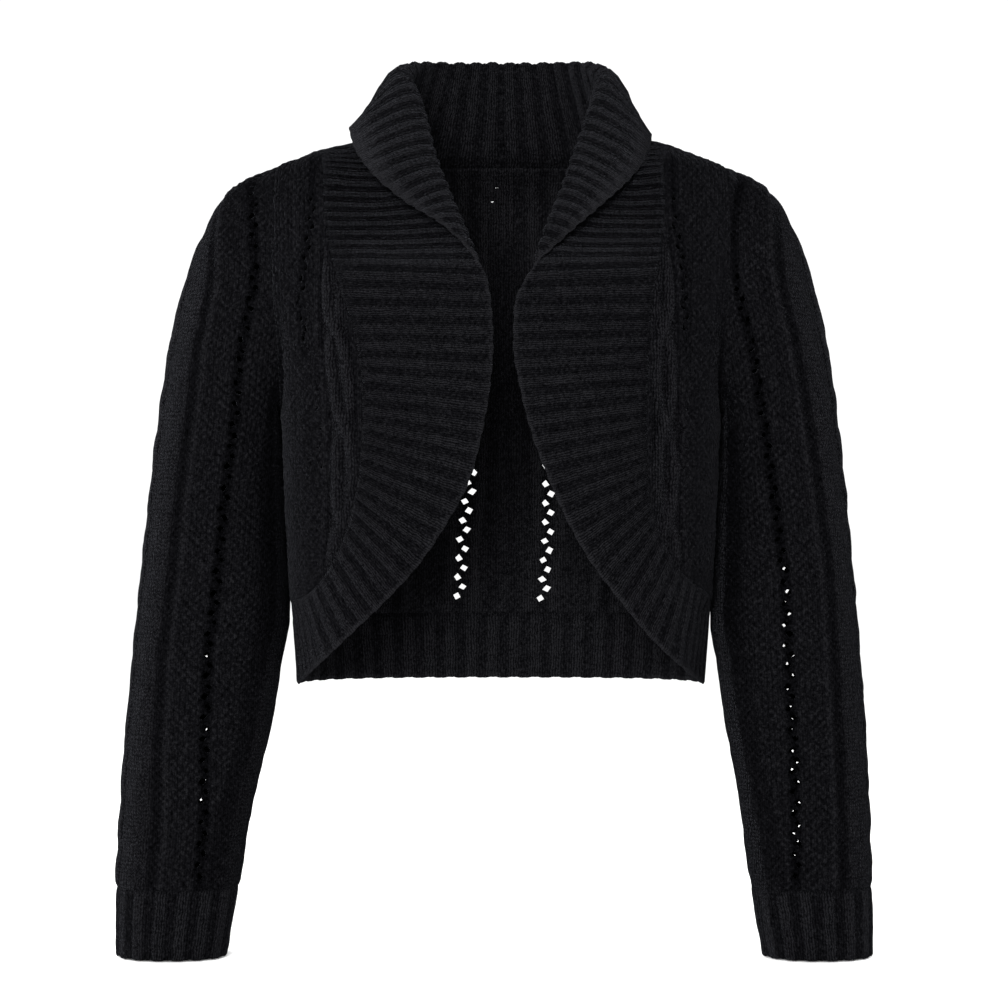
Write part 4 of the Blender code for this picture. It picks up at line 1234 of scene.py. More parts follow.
def open_inner(inner, outer, middle, out, holes, closed):
    """The corners of each hole on the inner face, behind those of the outer face."""
    inner = inner.copy()
    columns = outer.shape[1]
    inner_columns = inner.shape[1]
    for i, j, *_ in holes:
        for di in (-1, 1):
            for dj in (-1, 1):
                a, b = i + di, (j + dj) % columns if closed else j + dj
                rim = outer[a, b]
                place = (a // 2, (b // 2) % inner_columns)
                old = inner[place]
                normal = out[a, b]
                depth = (old - rim) @ normal
                inner[place] = rim + normal * depth
    return inner


def side_panels(x, t, strength):
    """Plain panel, groove, ridge and moss stitch, one after another from x = 0 outwards, with
    (relief, how plain each is)."""
    lift = 0.0 * x
    lift = lift + window(x, 0, 26) * (0.5 * moss(x, t) * strength / 0.6 - 0.15)
    lift = lift + window(x, 27.5, 33.0, 0.8) * 0.8
    lift = lift - window(x, 34.0, 42.0, 1.2) * 0.9
    smooth_part = window(x, 43.0, 95.0)
    lift = lift + smooth_part * (0.25 + 0.16 * wales(x))
    lift = lift - window(x, 96.0, 104.0, 1.2) * 0.9
    lift = lift + window(x, 105.0, 110.0, 0.8) * 0.8
    lift = lift + window(x, 111.0, 500.0) * (0.5 * moss(x, t) * strength / 0.6 - 0.15)
    plain = 0.35 + 0.65 * np.clip(smooth_part, 0, 1)
    return lift, plain


HEM_RIBS = 24
HEM_SAMPLES = 16
HEM_ROWS = 24


def make_hem():
    columns = HEM_RIBS * HEM_SAMPLES
    z = np.linspace(RIB_TOP_Z, HEM_Z, HEM_ROWS + 1)[:, None]
    even = np.linspace(QUARTER, 3 * QUARTER, 1201)
    run = arc_at(even, -390.0)
    run = (run - run[0]) / (run[-1] - run[0])
    turn = np.interp(np.linspace(0, 1, columns + 1), run, even)[None, :]
    turn, z = np.broadcast_arrays(turn, z)
    middle, out = body_middle(turn, z), body_out(turn, z)
    above, below, right, left = from_edges(middle, False)
    phase = np.broadcast_to(np.linspace(0, HEM_RIBS, columns + 1)[None, :] + 0.1, turn.shape)
    sides = np.clip(np.minimum(right, left) / 5.0, 0, 1)
    fade = np.clip(above / 5.0, 0.15, 1) * sides
    lift = 0.85 * rib(phase) * fade
    t = -z
    s = phase * 4 * WALE
    # The hem draws in a little at its top and hangs unevenly.
    slow = wavy(s, t, 5.0)
    ribs_within, plain_within = both_ribs(phase, fade)
    lift_within = -0.85 * ribs_within + 0.7 * slow * np.clip(above / 12.0, 0, 1) * sides
    lift = lift + 0.7 * slow * np.clip(above / 12.0, 0, 1) * sides
    edge = np.minimum(
        np.minimum(edge_round(above, 1.4, 0.7), edge_round(below, 2.4, 0.25)),
        np.minimum(edge_round(right, 1.4, 0.7), edge_round(left, 1.4, 0.7)),
    )
    for which in (("column", 0), ("column", -1), ("row", 0)):
        middle = clear_of(middle, out, which)
    wave = 0.5 * rib(phase) * np.clip(1 - below / 6.0, 0, 1)
    wave = 1.6 * (wave - wave.max() * np.clip(1 - below / 6.0, 0, 1))
    middle = middle - np.stack([0 * wave, 0 * wave, wave], axis=-1) * 0.8
    outer, inner = two_faces(middle, out, lift, THICK, edge, lift_within)
    # A painted highlight along the hem's lower free edge, on both faces; the inner face is also painted lighter by 0.3
    # against the shade inside.
    rim = 1.1 * np.exp(-((below / 2.6) ** 2))
    return shell(
        "back_hem_rib_knit", outer, inner, s, t, np.clip(rib(phase) * fade, -1, 1) + rim,
        plain=rib_stitch(rib(phase)), within=(0.7 * ribs_within + 0.3 + rim, plain_within),
    )


"""The fronts."""

FRONT_CELLS = 52
FRONT_ROWS = (22, 126, 92)
# Columns of eyelets and the middle of the twist beside the band, by height.
FRONT_COLUMNS = ("z", "eyelets_x", "twist_x", "lower_x")
FRONT_LINES = {
    "left": (
        (-30.0, 143.0, 124.0, 150.0),
        (-60.0, 144.0, 124.0, 150.0),
        (-95.0, 149.0, 124.5, 150.0),
        (-125.0, 152.5, 126.0, 150.0),
        (-150.0, 149.0, 125.5, 146.0),
        (-200.0, 146.0, 119.5, 138.0),
        (-260.0, 146.0, 119.0, 137.0),
        (-350.0, 146.0, 126.0, 140.0),
    ),
    "right": (
        (-30.0, 129.0, 112.0, 150.0),
        (-60.0, 131.0, 114.0, 150.0),
        (-95.0, 138.0, 119.0, 150.0),
        (-125.0, 139.5, 122.0, 150.0),
        (-150.0, 140.5, 123.0, 146.0),
        (-200.0, 142.0, 124.0, 140.0),
        (-260.0, 143.0, 125.0, 140.0),
        (-350.0, 146.0, 130.0, 142.0),
    ),
}


def make_front(side, sign):
    seam, rows_table = band_rows(side)
    run = lengths(0.6 * rows_table[:, 0] + 0.4 * rows_table[:, -1])
    outer_line = edge_line(side, "front", (0, FRONT_ROWS[1], FRONT_ROWS[2]))
    outer_line[-1, 1] += 2.0
    count = len(outer_line) - 1
    places = np.linspace(run[4], run[-1], count + 1)
    inner_line = smooth_columns(run, seam, places)
    inner_line[0, 0] = QUARTER
    short = FRONT_TIP * 0.05 + 0.006
    inner_line[-1] = smooth_columns(run, seam, np.array([run[-1] - short]))[0]
    top_z = np.linspace(COLLAR[side][4][1], ARMHOLE["top"], FRONT_CELLS + 1)
    top = np.stack([np.full_like(top_z, QUARTER), top_z], axis=-1)
    bottom = np.linspace(inner_line[-1], outer_line[-1], FRONT_CELLS + 1)
    grid = patch(top, bottom, inner_line, outer_line)
    turn, z = grid[..., 0], grid[..., 1]
    middle, out = body_middle(turn, z), body_out(turn, z)
    s, t = arc_at(turn, z), -z
    rows, columns = turn.shape
    above, below, band_side_mm, far = from_edges(middle, False)
    near = np.minimum(np.minimum(above, below), np.minimum(band_side_mm, far))
    fade = np.clip(near / 3.0, 0, 1)
    fill = np.zeros(turn.shape)
    count = FRONT_ROWS[1]
    direction, _, height = armhole_frame(side, count)
    near_armhole(out, fill, slice(0, count + 1), far, direction[: count + 1], height[: count + 1])

    table = np.array(FRONT_LINES[side])

    def line(column, heights):
        x = np.interp(heights, table[::-1, 0], table[::-1, column])
        return arc_at(turn_at(x, heights), heights)

    eyelets, twist_line, lower = line(1, z), line(2, z), line(3, z)
    holes = []
    fabric = np.stack([s, t], axis=-1)
    for k, height in enumerate(np.arange(-36.0, -156.0, -HOLE_PITCH)):
        side_on = 1 if k % 2 else -1
        at = float(line(1, np.array(height))) + HOLE_SWAY * 0.8 * side_on
        i, j, down, over, away = place_hole(fabric, (at, -height))
        if away < 3 and apart(holes, i, j) and near[i, j] > 6:
            holes.append((i, j, SLEEVE_HOLE, down, over, 14 * side_on))
    for k, height in enumerate(np.arange(-190.0, -262.0, -1.9 * HOLE_PITCH)):
        at = float(line(3, np.array(height))) + (1.5 if k % 2 else -1.5)
        i, j, down, over, away = place_hole(fabric, (at, -height))
        if away < 3 and apart(holes, i, j) and near[i, j] > 6:
            holes.append((i, j, 1.4, down, over, 0.0))

    twist_here = np.clip((band_side_mm - 2.0) / 3.0, 0, 1)
    cable = long_twist(s - twist_line, t, 11.0, 73.0, 106.5)
    in_cable = window(s - twist_line, -11.0, 11.0, 0.7)
    groove = np.exp(-(((np.abs(s - twist_line) - 12.0) / 1.6) ** 2))
    beyond = s - twist_line - 13.5
    lift = in_cable * (1.1 * cable + 0.1) * twist_here - 0.7 * groove * twist_here
    knots = 0.5 * moss(s, t) + 0.3 * wavy(s, t, 2.0, ((13.0, 17.0), (9.0, 12.0))) + 0.16 * wales(s)
    lift = lift + window(beyond, 0.0, 400.0) * knots
    lift = lift - 0.45 * np.exp(-(((s - eyelets) / 4.5) ** 2)) * window(z, -165, 0, 5)
    lift = lift + (window(beyond, -0.5, 3.5, 0.7)) * 0.6
    ring = ring_height(middle, holes, False)
    # The cloth folds in where the arm meets the body, and that crease is painted darker as well: painted shade in the
    # crease.
    fold_and_shade = np.exp(-(((far - 8.0) / 10.0) ** 2)) * window(z, -300.0, -150.0, 26.0)
    eyelet_line = np.exp(-(((s - eyelets) / 5.0) ** 2)) * window(z, -165, 0, 5)
    relief = np.clip(lift * fade * (1 - 0.5 * in_cable), -1, 0.7) - 1.5 * fold_and_shade - 0.4 * eyelet_line
    slow = 0.55 * wavy(s, t, 7.0 + sign) * fade + fill - 4.0 * fold_and_shade * np.clip(far / 6.0, 0, 1)
    lift = lift * fade
    edge = edge_round(near, 1.4, 0.85)
    for which in (("column", 0), ("column", -1), ("row", 0), ("row", -1)):
        middle = clear_of(middle, out, which)
    outer, inner = two_faces(middle, out, lift + slow + ring, THICK, edge, 0.4 * lift + slow)
    outer = open_holes(outer, holes, (rows, columns), False, 21)
    inner = open_inner(inner, outer, middle, out, holes, False)
    plain = 0.4 + 0.6 * in_cable
    facing = np.array([sign, 1.0, 1.0])
    return mirror_shell(
        f"front_{side}_knit", outer * facing, inner * facing, s, t, relief, False, holes, plain, sign
    )


def long_twist(across, along, half_width, crossing, start):
    """Two strands that lie side by side and cross once every so often."""
    angle = np.pi * (along - start) / crossing
    swing = np.tanh(1.5 * np.cos(angle)) / math.tanh(1.5)
    radius = 0.38 * half_width
    height = np.full(np.broadcast(across, along).shape, -1.0)
    for sign in (1, -1):
        centre = sign * (half_width - radius) * swing
        over = 0.8 * sign * np.exp(-((np.cos(angle) / 0.5) ** 2)) * np.sign(np.sin(angle))
        inside = np.clip(1 - ((across - centre) / radius) ** 2, 0, 1)
        height = np.maximum(height, np.where(inside > 0, 2.1 * np.sqrt(inside) + over - 1.0, -1.0))
    return height


def mirror_shell(name, outer, inner, s, t, relief, closed, holes, plain, sign):
    """A shell whose faces look outwards on either side of the body."""
    return shell(name, outer, inner, s, t, relief, closed, holes, plain)


"""The sleeves and cuffs."""

SLEEVE_CELLS = 256  # round
SLEEVE_ROWS = 296
CUFF_RIBS = 15
CUFF_SAMPLES = 16
CUFF_ROWS = 30
PANEL_EYELETS = 85.0  # from the outer line of the sleeve to its column of eyelets
# The column of eyelets on the front of each sleeve, seen from the front.
EYELET_LINE = {
    "left": (
        (190.3, -28.7), (193.0, -68.5), (191.0, -98.9), (197.3, -128.6), (203.6, -158.2),
        (206.7, -201.1), (212.2, -247.9), (216.5, -279.1), (219.6, -321.2), (228.5, -392.2),
        (231.7, -464.8), (231.9, -523.3), (236.4, -575.0),
    ),
    "right": (
        (182.0, -30.0), (180.5, -60.0), (182.0, -99.7), (190.3, -130.9), (198.1, -164.5),
        (205.9, -218.3), (212.0, -262.0), (221.5, -331.4), (223.9, -376.6), (226.2, -428.9),
        (228.5, -471.0), (230.1, -528.7), (230.5, -575.0),
    ),
}


SLEEVE_PITCH = 8.3  # between the sleeves' eyelets


def level_sections(rings):
    """Level sections of a tube that hangs down, and the distance round each of them from the
    middle column."""
    rows, columns = rings.shape[:2]
    falling = np.minimum.accumulate(rings[..., 2], axis=0) - 1e-6 * np.arange(rows)[:, None]
    levels = np.linspace(rings[..., 2].max(), rings[..., 2].min(), 760)
    sections = np.empty((len(levels), columns, 3))
    for j in range(columns):
        for k in range(3):
            sections[:, j, k] = np.interp(-levels, -falling[:, j], rings[:, j, k])
    run = np.cumsum(np.linalg.norm(np.diff(sections, axis=1), axis=-1), axis=1)
    run = np.concatenate([np.zeros((len(levels), 1)), run], axis=1)
    return levels, sections, run - run[:, columns // 2][:, None]


def ring_normals(rings):
    around = np.roll(rings, -1, axis=1) - np.roll(rings, 1, axis=1)
    out = unit(np.cross(around, np.gradient(rings, axis=0)))
    centre = rings.mean(axis=1, keepdims=True)
    return -out if np.sum(out * (rings - centre)) < 0 else out


def round_arc(rings):
    """Distance round each ring from its outer point, which is the middle column."""
    columns = rings.shape[1]
    steps = np.linalg.norm(np.diff(rings, axis=1), axis=-1)
    run = np.concatenate([np.zeros((len(rings), 1)), np.cumsum(steps, axis=1)], axis=1)
    return run - run[:, columns // 2][:, None]


def make_sleeve(side, sign):
    half_turn = SLEEVE_CELLS // 2
    rings = sleeve_rings(side, 0, CUFF_ROW, SLEEVE_ROWS, SLEEVE_CELLS)
    own = ring_normals(rings)
    seam_out, _, height = armhole_frame(side, half_turn)
    depth = np.linalg.norm(np.diff(rings, axis=0), axis=-1)
    depth = np.concatenate([np.zeros((1, SLEEVE_CELLS)), np.cumsum(depth, axis=0)], axis=0)
    from_cuff = depth[-1:] - depth
    fill = height[None] * np.clip(1 - depth / FILLET, 0, 1) ** 2
    near_seam = np.exp(-((depth / 7.0) ** 2))[..., None]
    out = unit(own * (1 - near_seam) + seam_out[None] * near_seam)
    # The cut in the tube lies under the arm, where the sleeve's own seam is.
    rings, out, depth, from_cuff, fill = (
        np.roll(a, half_turn, axis=1) for a in (rings, out, depth, from_cuff, fill)
    )
    arc = round_arc(rings)
    rows, columns = rings.shape[:2]
    flat = seen_from_front(rings * np.array([sign, 1.0, 1.0])) * np.array([sign, 1.0])

    # The wales hang straight down: across is measured round level sections, from
    # the sleeve's outer line, and then moved so that the eyelets have one value.
    levels, sections, section_arc = level_sections(rings)
    table = np.array(EYELET_LINE[side], float)
    seen = seen_from_front(sections * np.array([sign, 1.0, 1.0])) * np.array([sign, 1.0])
    middle_column = columns // 2
    line_at = np.zeros(len(levels))
    for k in range(len(levels)):
        x = seen[k, middle_column:, 0]
        wanted = np.interp(-seen[k, middle_column:, 1], -table[:, 1], table[:, 0])
        past = np.nonzero(x - wanted <= 0)[0]
        m = int(past[0]) if len(past) else len(x) - 1
        m = max(m, 1)
        gap = (x - wanted)[m - 1], (x - wanted)[m]
        part = gap[0] / (gap[0] - gap[1]) if gap[0] != gap[1] else 0.0
        arcs = section_arc[k, middle_column + m - 1], section_arc[k, middle_column + m]
        line_at[k] = arcs[0] + np.clip(part, 0, 1) * (arcs[1] - arcs[0])
    line_at = np.convolve(np.pad(line_at, 20, mode="edge"), np.ones(41) / 41, mode="valid")
    offset = line_at - PANEL_EYELETS
    c = np.empty((rows, columns))
    for j in range(columns):
        c[:, j] = np.interp(-rings[:, j, 2], -levels, section_arc[:, j] - offset)
    seam_mm = np.abs(arc[:, -1] - arc[:, 0])[:, None] / 2 - np.abs(arc)  # from the seam under the arm
    along = -1.03 * rings[..., 2]

    holes = []
    fabric = np.stack([c, along], axis=-1)
    in_front = np.broadcast_to((np.arange(columns) > middle_column)[None], c.shape)
    jitter = np.random.default_rng(5 if side == "left" else 6)
    for k, at in enumerate(np.arange(22.0, 584.0, SLEEVE_PITCH)):
        side_on = 1 if k % 2 else -1
        spot = (
            PANEL_EYELETS + side_on * HOLE_SWAY * 0.75 + 1.0 * (jitter.random() - 0.5),
            at + 1.6 * (jitter.random() - 0.5),
        )
        i, j, down, over, away = place_hole(fabric, spot, mask=in_front)
        if away < 3 and depth[i, j] > 6 and from_cuff[i, j] > 6 and apart(holes, i, j, columns):
            size = SLEEVE_HOLE * (0.84 + 0.3 * jitter.random())
            holes.append((i, j, size, down, over, 16 * side_on))
    # The same column behind. On the right sleeve it lies so that light shows
    # through the lower holes.
    flat_behind = flat.copy()
    behind = np.broadcast_to((np.arange(columns) < middle_column)[None], c.shape)
    front_holes = list(holes)
    for k, (i, j, size, down, over, lean) in enumerate(front_holes):
        spot = flat[i, j] + down * (flat[i + 1, j] - flat[i - 1, j]) / 2
        spot = spot + over * (flat[i, (j + 1) % columns] - flat[i, j - 1]) / 2
        through = spot[1] < -322 if side == "right" else k % 7 == 3 and spot[1] < -380
        if through:
            size = 0.56 * size
            spot = spot + np.array([1.9 * math.sin(2.7 * k + 1), 2.3 * math.cos(1.9 * k)])
            a, b, down, over, away = place_hole(flat_behind, spot, mask=behind)
        else:
            spot = (-fabric[i, j, 0] - 4.5, fabric[i, j, 1] + 0.5 * SLEEVE_PITCH)
            a, b, down, over, away = place_hole(fabric, spot, mask=behind)
            in_line = min(np.linalg.norm(flat[a, b] - flat[c_i, c_j]) for c_i, c_j, *_ in front_holes)
            if in_line < 5.6:
                continue
        if away < 4 and depth[a, b] > 6 and from_cuff[a, b] > 6 and apart(holes, a, b, columns):
            holes.append((a, b, size, down, over, -lean))

    side_mm = np.abs(c)
    fade = np.clip(np.minimum(depth, from_cuff) / 3.0, 0, 1)
    under = np.clip(seam_mm / 5.0, 0, 1)
    outer_panel = window(side_mm, -5, 43.5)
    bumps = twist(c, along, 15.0, 76.0, 0.4) * window(side_mm, -5, 15.5, 0.8)
    lift = outer_panel * (0.25 + 0.14 * wales(c)) + 1.15 * bumps
    lift = lift - 0.75 * window(side_mm, 45.0, 51.5, 1.6)
    lift = lift + 0.75 * window(side_mm, 54.0, 58.0, 0.7)
    knots = 0.7 * moss(c, along) + 0.3 * wavy(c, along, 2.0, ((13.0, 17.0), (9.0, 12.0))) + 0.05
    lift = lift + window(side_mm, 59.5, 79.5) * knots
    lift = lift - 0.85 * np.exp(-(((side_mm - PANEL_EYELETS) / 4.5) ** 2))
    lift = lift + 0.45 * np.exp(-(((np.abs(side_mm - PANEL_EYELETS) - 6.0) / 1.3) ** 2))
    past = window(side_mm, 91.0, 400.0)
    inner_groove = window(seam_mm, 29.0, 44.0, 1.2)
    seam_panel = window(seam_mm, -50.0, 28.0)
    lift = lift + past * (1 - inner_groove) * (1 - seam_panel) * knots
    lift = lift + past * (seam_panel * (0.05 + 0.14 * wales(c)) - 0.45 * inner_groove)
    ring = ring_height(rings, holes, True)
    slow = wavy(c, along, 9.0 + 2 * sign)
    lift = lift * under * fade
    # Painted shade in the crease at the armpit, on the front of the sleeve beside the body.
    facing_front = 0.5 + 0.5 * np.tanh((np.arange(columns) - middle_column)[None] / 6.0)
    fold_and_shade = facing_front * np.exp(-((seam_mm / 36.0) ** 2)) * window(rings[..., 2], -385.0, -125.0, 30.0)
    eyelet_line = np.exp(-(((side_mm - PANEL_EYELETS) / 5.0) ** 2))
    # The plain panel beside the body is painted darker: painted shade where the sleeve hangs by the body.
    lift_and_shade_tone = np.clip(lift, -1, 1.4) - 0.45 * seam_panel
    # A painted highlight runs down the sleeve's outer line, and the armpit crease term is painted shade.
    relief = lift_and_shade_tone - 0.5 * eyelet_line - 1.9 * fold_and_shade + 0.6 * np.exp(-((side_mm / 9.0) ** 2))
    under_arm = np.exp(-((seam_mm / 26.0) ** 2)) * window(depth, 6.0, 138.0, 12.0)
    slow = 0.75 * slow * fade - 0.8 * (1 - under) * (1 - under_arm) + fill + 2.2 * under_arm
    edge = np.minimum(edge_round(depth, 1.4, 0.85), edge_round(from_cuff, 1.4, 0.7))
    rings = rings.copy()
    rings[0] += unit(rings[1] - rings[0]) * SEAM_MEET
    rings[-1] += unit(rings[-2] - rings[-1]) * SEAM_MEET
    outer, inner = two_faces(rings, out, lift + slow + ring, THICK, edge, 0.4 * lift + slow)
    outer = open_holes(outer, holes, (rows, columns), True, 31)
    inner = open_inner(inner, outer, rings, out, holes, True)
    plain = 0.35 + 0.65 * np.clip(outer_panel + seam_panel, 0, 1)
    facing = np.array([sign, 1.0, 1.0])
    return mirror_shell(
        f"sleeve_{side}_knit", outer * facing, inner * facing, c, along, relief, True, holes, plain, sign
    )


def make_cuff(side, sign):
    columns = CUFF_RIBS * CUFF_SAMPLES
    rings = sleeve_rings(side, CUFF_ROW, len(SLEEVE) - 1, CUFF_ROWS, 1200)
    half_turn = 600
    rings = np.roll(rings, half_turn, axis=1)
    # Even spacing round each ring.
    even = []
    for ring in rings:
        closed = np.vstack([ring, ring[:1]])
        run = lengths(closed)
        at = np.arange(columns) / columns
        even.append(np.stack([np.interp(at, run, closed[:, k]) for k in range(3)], axis=-1))
    rings = np.array(even)
    out = ring_normals(rings)
    arc = round_arc(rings)
    depth = np.linalg.norm(np.diff(rings, axis=0), axis=-1)
    depth = np.concatenate([np.zeros((1, columns)), np.cumsum(depth, axis=0)], axis=0)
    below = depth[-1:] - depth
    phase = np.broadcast_to((np.arange(columns) / CUFF_SAMPLES)[None], rings.shape[:2]) + 0.25
    fade = np.clip(depth / 5.0, 0.15, 1)
    across = phase * 4 * WALE
    lift = 0.85 * rib(phase) * fade
    lift = lift + 0.5 * wavy(across, depth, 13.0 + sign) * np.clip(depth / 12.0, 0, 1)
    edge = np.minimum(edge_round(depth, 1.4, 0.7), edge_round(below, 2.4, 0.25))
    rings = rings.copy()
    rings[0] += unit(rings[1] - rings[0]) * SEAM_MEET
    wave = 0.5 * rib(phase) * np.clip(1 - below / 6.0, 0, 1)
    wave = wave - wave.max() * np.clip(1 - below / 6.0, 0, 1)
    rings = rings - np.stack([0 * wave, 0 * wave, wave], axis=-1) * 0.8
    outer, inner = two_faces(rings, out, lift, THICK, edge)
    facing = np.array([sign, 1.0, 1.0])
    return mirror_shell(
        f"cuff_{side}_knit", outer * facing, inner * facing, across, depth, np.clip(rib(phase) * fade, -1, 1), True, (), rib_stitch(rib(phase)), sign
    )


"""Materials."""


def add(tree, kind, **values):
    node = tree.nodes.new(kind)
    for key, value in values.items():
        setattr(node, key, value)
    return node


def maths(tree, operation, one, two=None, three=None):
    node = add(tree, "ShaderNodeMath", operation=operation)
    for socket, value in zip(node.inputs, (one, two, three)):
        if value is None:
            continue
        if isinstance(value, (int, float)):
            socket.default_value = value
        else:
            tree.links.new(value, socket)
    return node.outputs[0]


def wool(name, legs):
    """Black wool. legs is how far the stitches' legs run on into one another."""
    material = bpy.data.materials.new(name)
    material.use_nodes = True
    tree = material.node_tree
    shader = tree.nodes["Principled BSDF"]
    shader.inputs["Roughness"].default_value = 0.9
    shader.inputs["Metallic"].default_value = 0.0
    shader.inputs["Specular IOR Level"].default_value = 0.0
    shader.inputs["Sheen Weight"].default_value = 0.015
    shader.inputs["Sheen Roughness"].default_value = 0.16
    shader.inputs["Sheen Tint"].default_value = (0.85, 0.88, 1.0, 1.0)

    relief = add(tree, "ShaderNodeAttribute", attribute_name="relief").outputs["Fac"]
    plain = add(tree, "ShaderNodeAttribute", attribute_name="plain").outputs["Fac"]
    moss_part = maths(tree, "SUBTRACT", 1.0, plain)
    place = add(tree, "ShaderNodeTexCoord").outputs["Object"]

    def cloud(scale, detail, roughness):
        node = add(tree, "ShaderNodeTexNoise")
        node.inputs["Scale"].default_value = scale
        node.inputs["Detail"].default_value = detail
        node.inputs["Roughness"].default_value = roughness
        tree.links.new(place, node.inputs["Vector"])
        return node.outputs["Fac"], node.outputs["Color"]

    slow, slow_colour = cloud(150.0, 2.0, 0.5)
    fuzz, _ = cloud(430.0, 3.0, 0.68)
    nap, _ = cloud(1300.0, 2.0, 0.6)

    uv = add(tree, "ShaderNodeUVMap", uv_map="knit")
    split = add(tree, "ShaderNodeSeparateXYZ")
    tree.links.new(uv.outputs["UV"], split.inputs[0])
    sway = add(tree, "ShaderNodeSeparateXYZ")
    tree.links.new(slow_colour, sway.inputs[0])
    u = maths(tree, "ADD", split.outputs[0], maths(tree, "MULTIPLY", maths(tree, "SUBTRACT", sway.outputs[0], 0.5), 0.85))
    v = maths(tree, "ADD", split.outputs[1], maths(tree, "MULTIPLY", maths(tree, "SUBTRACT", sway.outputs[1], 0.5), 1.9))

    # A knit stitch is a V: two legs that lean to each other.
    leg = maths(tree, "MULTIPLY", maths(tree, "ABSOLUTE", maths(tree, "SUBTRACT", maths(tree, "FRACT", u), 0.5)), 2.0)
    profile = maths(tree, "POWER", maths(tree, "MAXIMUM", maths(tree, "SINE", maths(tree, "MULTIPLY", leg, math.pi)), 0.0), 0.6)
    lean = maths(tree, "MULTIPLY_ADD", leg, 0.6, v)
    strand = maths(tree, "MULTIPLY_ADD", maths(tree, "COSINE", maths(tree, "MULTIPLY", lean, 2 * math.pi)), 0.5 - 0.5 * legs, 0.5 + 0.5 * legs)
    stitch = maths(tree, "MULTIPLY", profile, strand)
    # A knot of moss stitch stands up beside one that lies low.
    across = maths(tree, "SINE", maths(tree, "MULTIPLY", u, math.pi * 1.35))
    down = maths(tree, "SINE", maths(tree, "MULTIPLY", v, math.pi))
    knot = maths(tree, "MULTIPLY_ADD", maths(tree, "MULTIPLY", across, down), 0.27, 0.5)
    knit = maths(tree, "ADD", maths(tree, "MULTIPLY", stitch, plain), maths(tree, "MULTIPLY", knot, moss_part))

    height = maths(tree, "MULTIPLY_ADD", knit, 0.9, maths(tree, "MULTIPLY", fuzz, 0.9))
    height = maths(tree, "MULTIPLY_ADD", nap, 0.3, height)
    bump = add(tree, "ShaderNodeBump")
    bump.inputs["Strength"].default_value = 0.9
    bump.inputs["Distance"].default_value = 0.0011
    tree.links.new(height, bump.inputs["Height"])
    tree.links.new(bump.outputs["Normal"], shader.inputs["Normal"])

    def centred(value, gain, total):
        return maths(tree, "MULTIPLY_ADD", maths(tree, "SUBTRACT", value, 0.5), gain, total)

    # The relief attribute sets the tone: the stitches' height, with painted highlights and painted shade added in
    # places.
    tone = maths(tree, "MULTIPLY_ADD", relief, 0.2, 0.45)
    tone = centred(knit, 0.62, tone)
    tone = centred(fuzz, 1.3, tone)
    tone = centred(nap, 1.1, tone)
    tone = centred(slow, 0.25, tone)
    ramp = add(tree, "ShaderNodeValToRGB")
    ramp.color_ramp.elements[0].position = 0.0
    ramp.color_ramp.elements[0].color = (0.0002, 0.0002, 0.00025, 1.0)
    ramp.color_ramp.elements[1].position = 1.0
    ramp.color_ramp.elements[1].color = (0.0062, 0.0062, 0.0070, 1.0)
    middle = ramp.color_ramp.elements.new(0.5)
    middle.color = (0.0016, 0.0016, 0.0019, 1.0)
    tree.links.new(tone, ramp.inputs["Fac"])
    tree.links.new(ramp.outputs["Color"], shader.inputs["Base Color"])
    return material


"""The garment."""

plain_wool = wool("black_wool_knit", 0.6)
ribbed_wool = wool("black_wool_rib", 0.7)

band_piece, *_ = make_band()
made = {
    "collar_band": band_piece,
    "back": make_back(),
    "back_hem_rib": make_hem(),
}
for side, sign in (("right", 1), ("left", -1)):
    made[f"front_{side}"] = make_front(side, sign)
    made[f"sleeve_{side}"] = make_sleeve(side, sign)
    made[f"cuff_{side}"] = make_cuff(side, sign)

RIBBED = {"collar_band", "back_hem_rib", "cuff_left", "cuff_right"}
total = 0
for node, piece in made.items():
    piece.data.materials.append(ribbed_wool if node in RIBBED else plain_wool)
    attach(piece, "root")
    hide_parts(node)


"""The setting."""

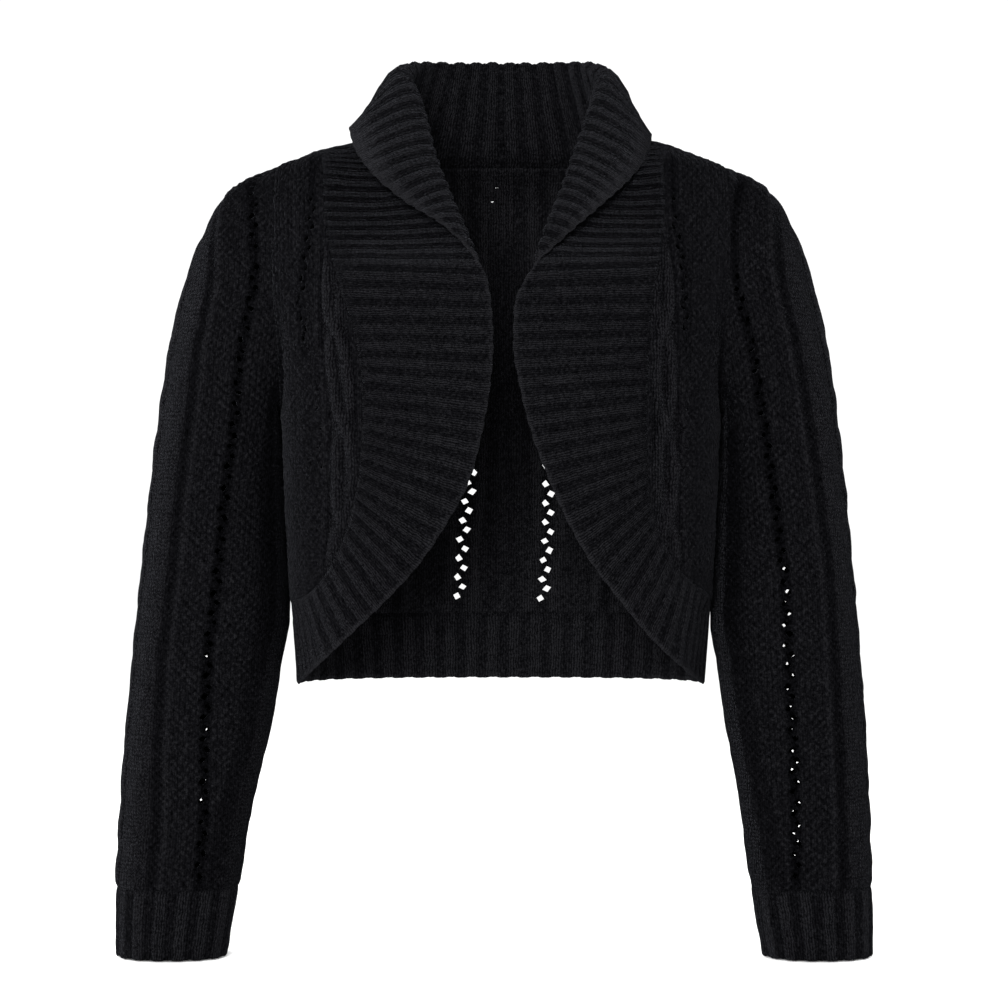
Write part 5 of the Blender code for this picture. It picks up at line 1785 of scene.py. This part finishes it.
scene = bpy.context.scene
scene.view_settings.view_transform = "Standard"
scene.view_settings.look = "None"

floor_mesh = bpy.data.meshes.new("floor")
floor_mesh.from_pydata([(-40, -40, 0), (40, -40, 0), (40, 40, 0), (-40, 40, 0)], [], [(0, 1, 2, 3)])
floor = bpy.data.objects.new("floor", floor_mesh)
floor.location = (0.0, 0.0, -0.6272)
scene.collection.objects.link(floor)
pale = bpy.data.materials.new("floor")
pale.use_nodes = True
pale.node_tree.nodes["Principled BSDF"].inputs["Base Color"].default_value = (0.93, 0.93, 0.93, 1.0)
pale.node_tree.nodes["Principled BSDF"].inputs["Roughness"].default_value = 0.9
floor_mesh.materials.append(pale)

world = bpy.data.worlds.new("studio")
world.use_nodes = True
world.node_tree.nodes["Background"].inputs["Color"].default_value = (1.0, 1.0, 1.0, 1.0)
world.node_tree.nodes["Background"].inputs["Strength"].default_value = 1.1
scene.world = world


def soft_light(name, place, target, size, watts):
    data = bpy.data.lights.new(name, "AREA")
    data.shape = "RECTANGLE"
    data.size, data.size_y = size
    data.energy = watts
    lamp = bpy.data.objects.new(name, data)
    lamp.location = place
    direction = np.array(target) - np.array(place)
    yaw = math.atan2(direction[1], direction[0]) - math.pi / 2
    pitch = math.atan2(direction[2], math.hypot(direction[0], direction[1]))
    lamp.rotation_euler = (math.pi / 2 + pitch, 0.0, yaw)
    scene.collection.objects.link(lamp)
    return lamp


soft_light("left_rim", (-2.5, 0.8, 0.5), (0.0, 0.0, -0.25), (1.0, 2.4), 85)
soft_light("right_rim", (2.5, 0.8, 0.5), (0.0, 0.0, -0.25), (1.0, 2.4), 60)
soft_light("front", (-0.5, -3.4, 0.45), (0.0, 0.0, -0.25), (1.3, 1.3), 300)

camera_data = bpy.data.cameras.new("camera")
camera_data.sensor_width = 36.0
camera_data.lens = 36.0 * 2948.7 / 1008
camera = bpy.data.objects.new("camera", camera_data)
camera.location = (0.00234, -2.3, -0.276)
camera.rotation_euler = (math.pi / 2, 0.0, 0.0)
scene.collection.objects.link(camera)
scene.camera = camera

bpy.context.view_layer.update()
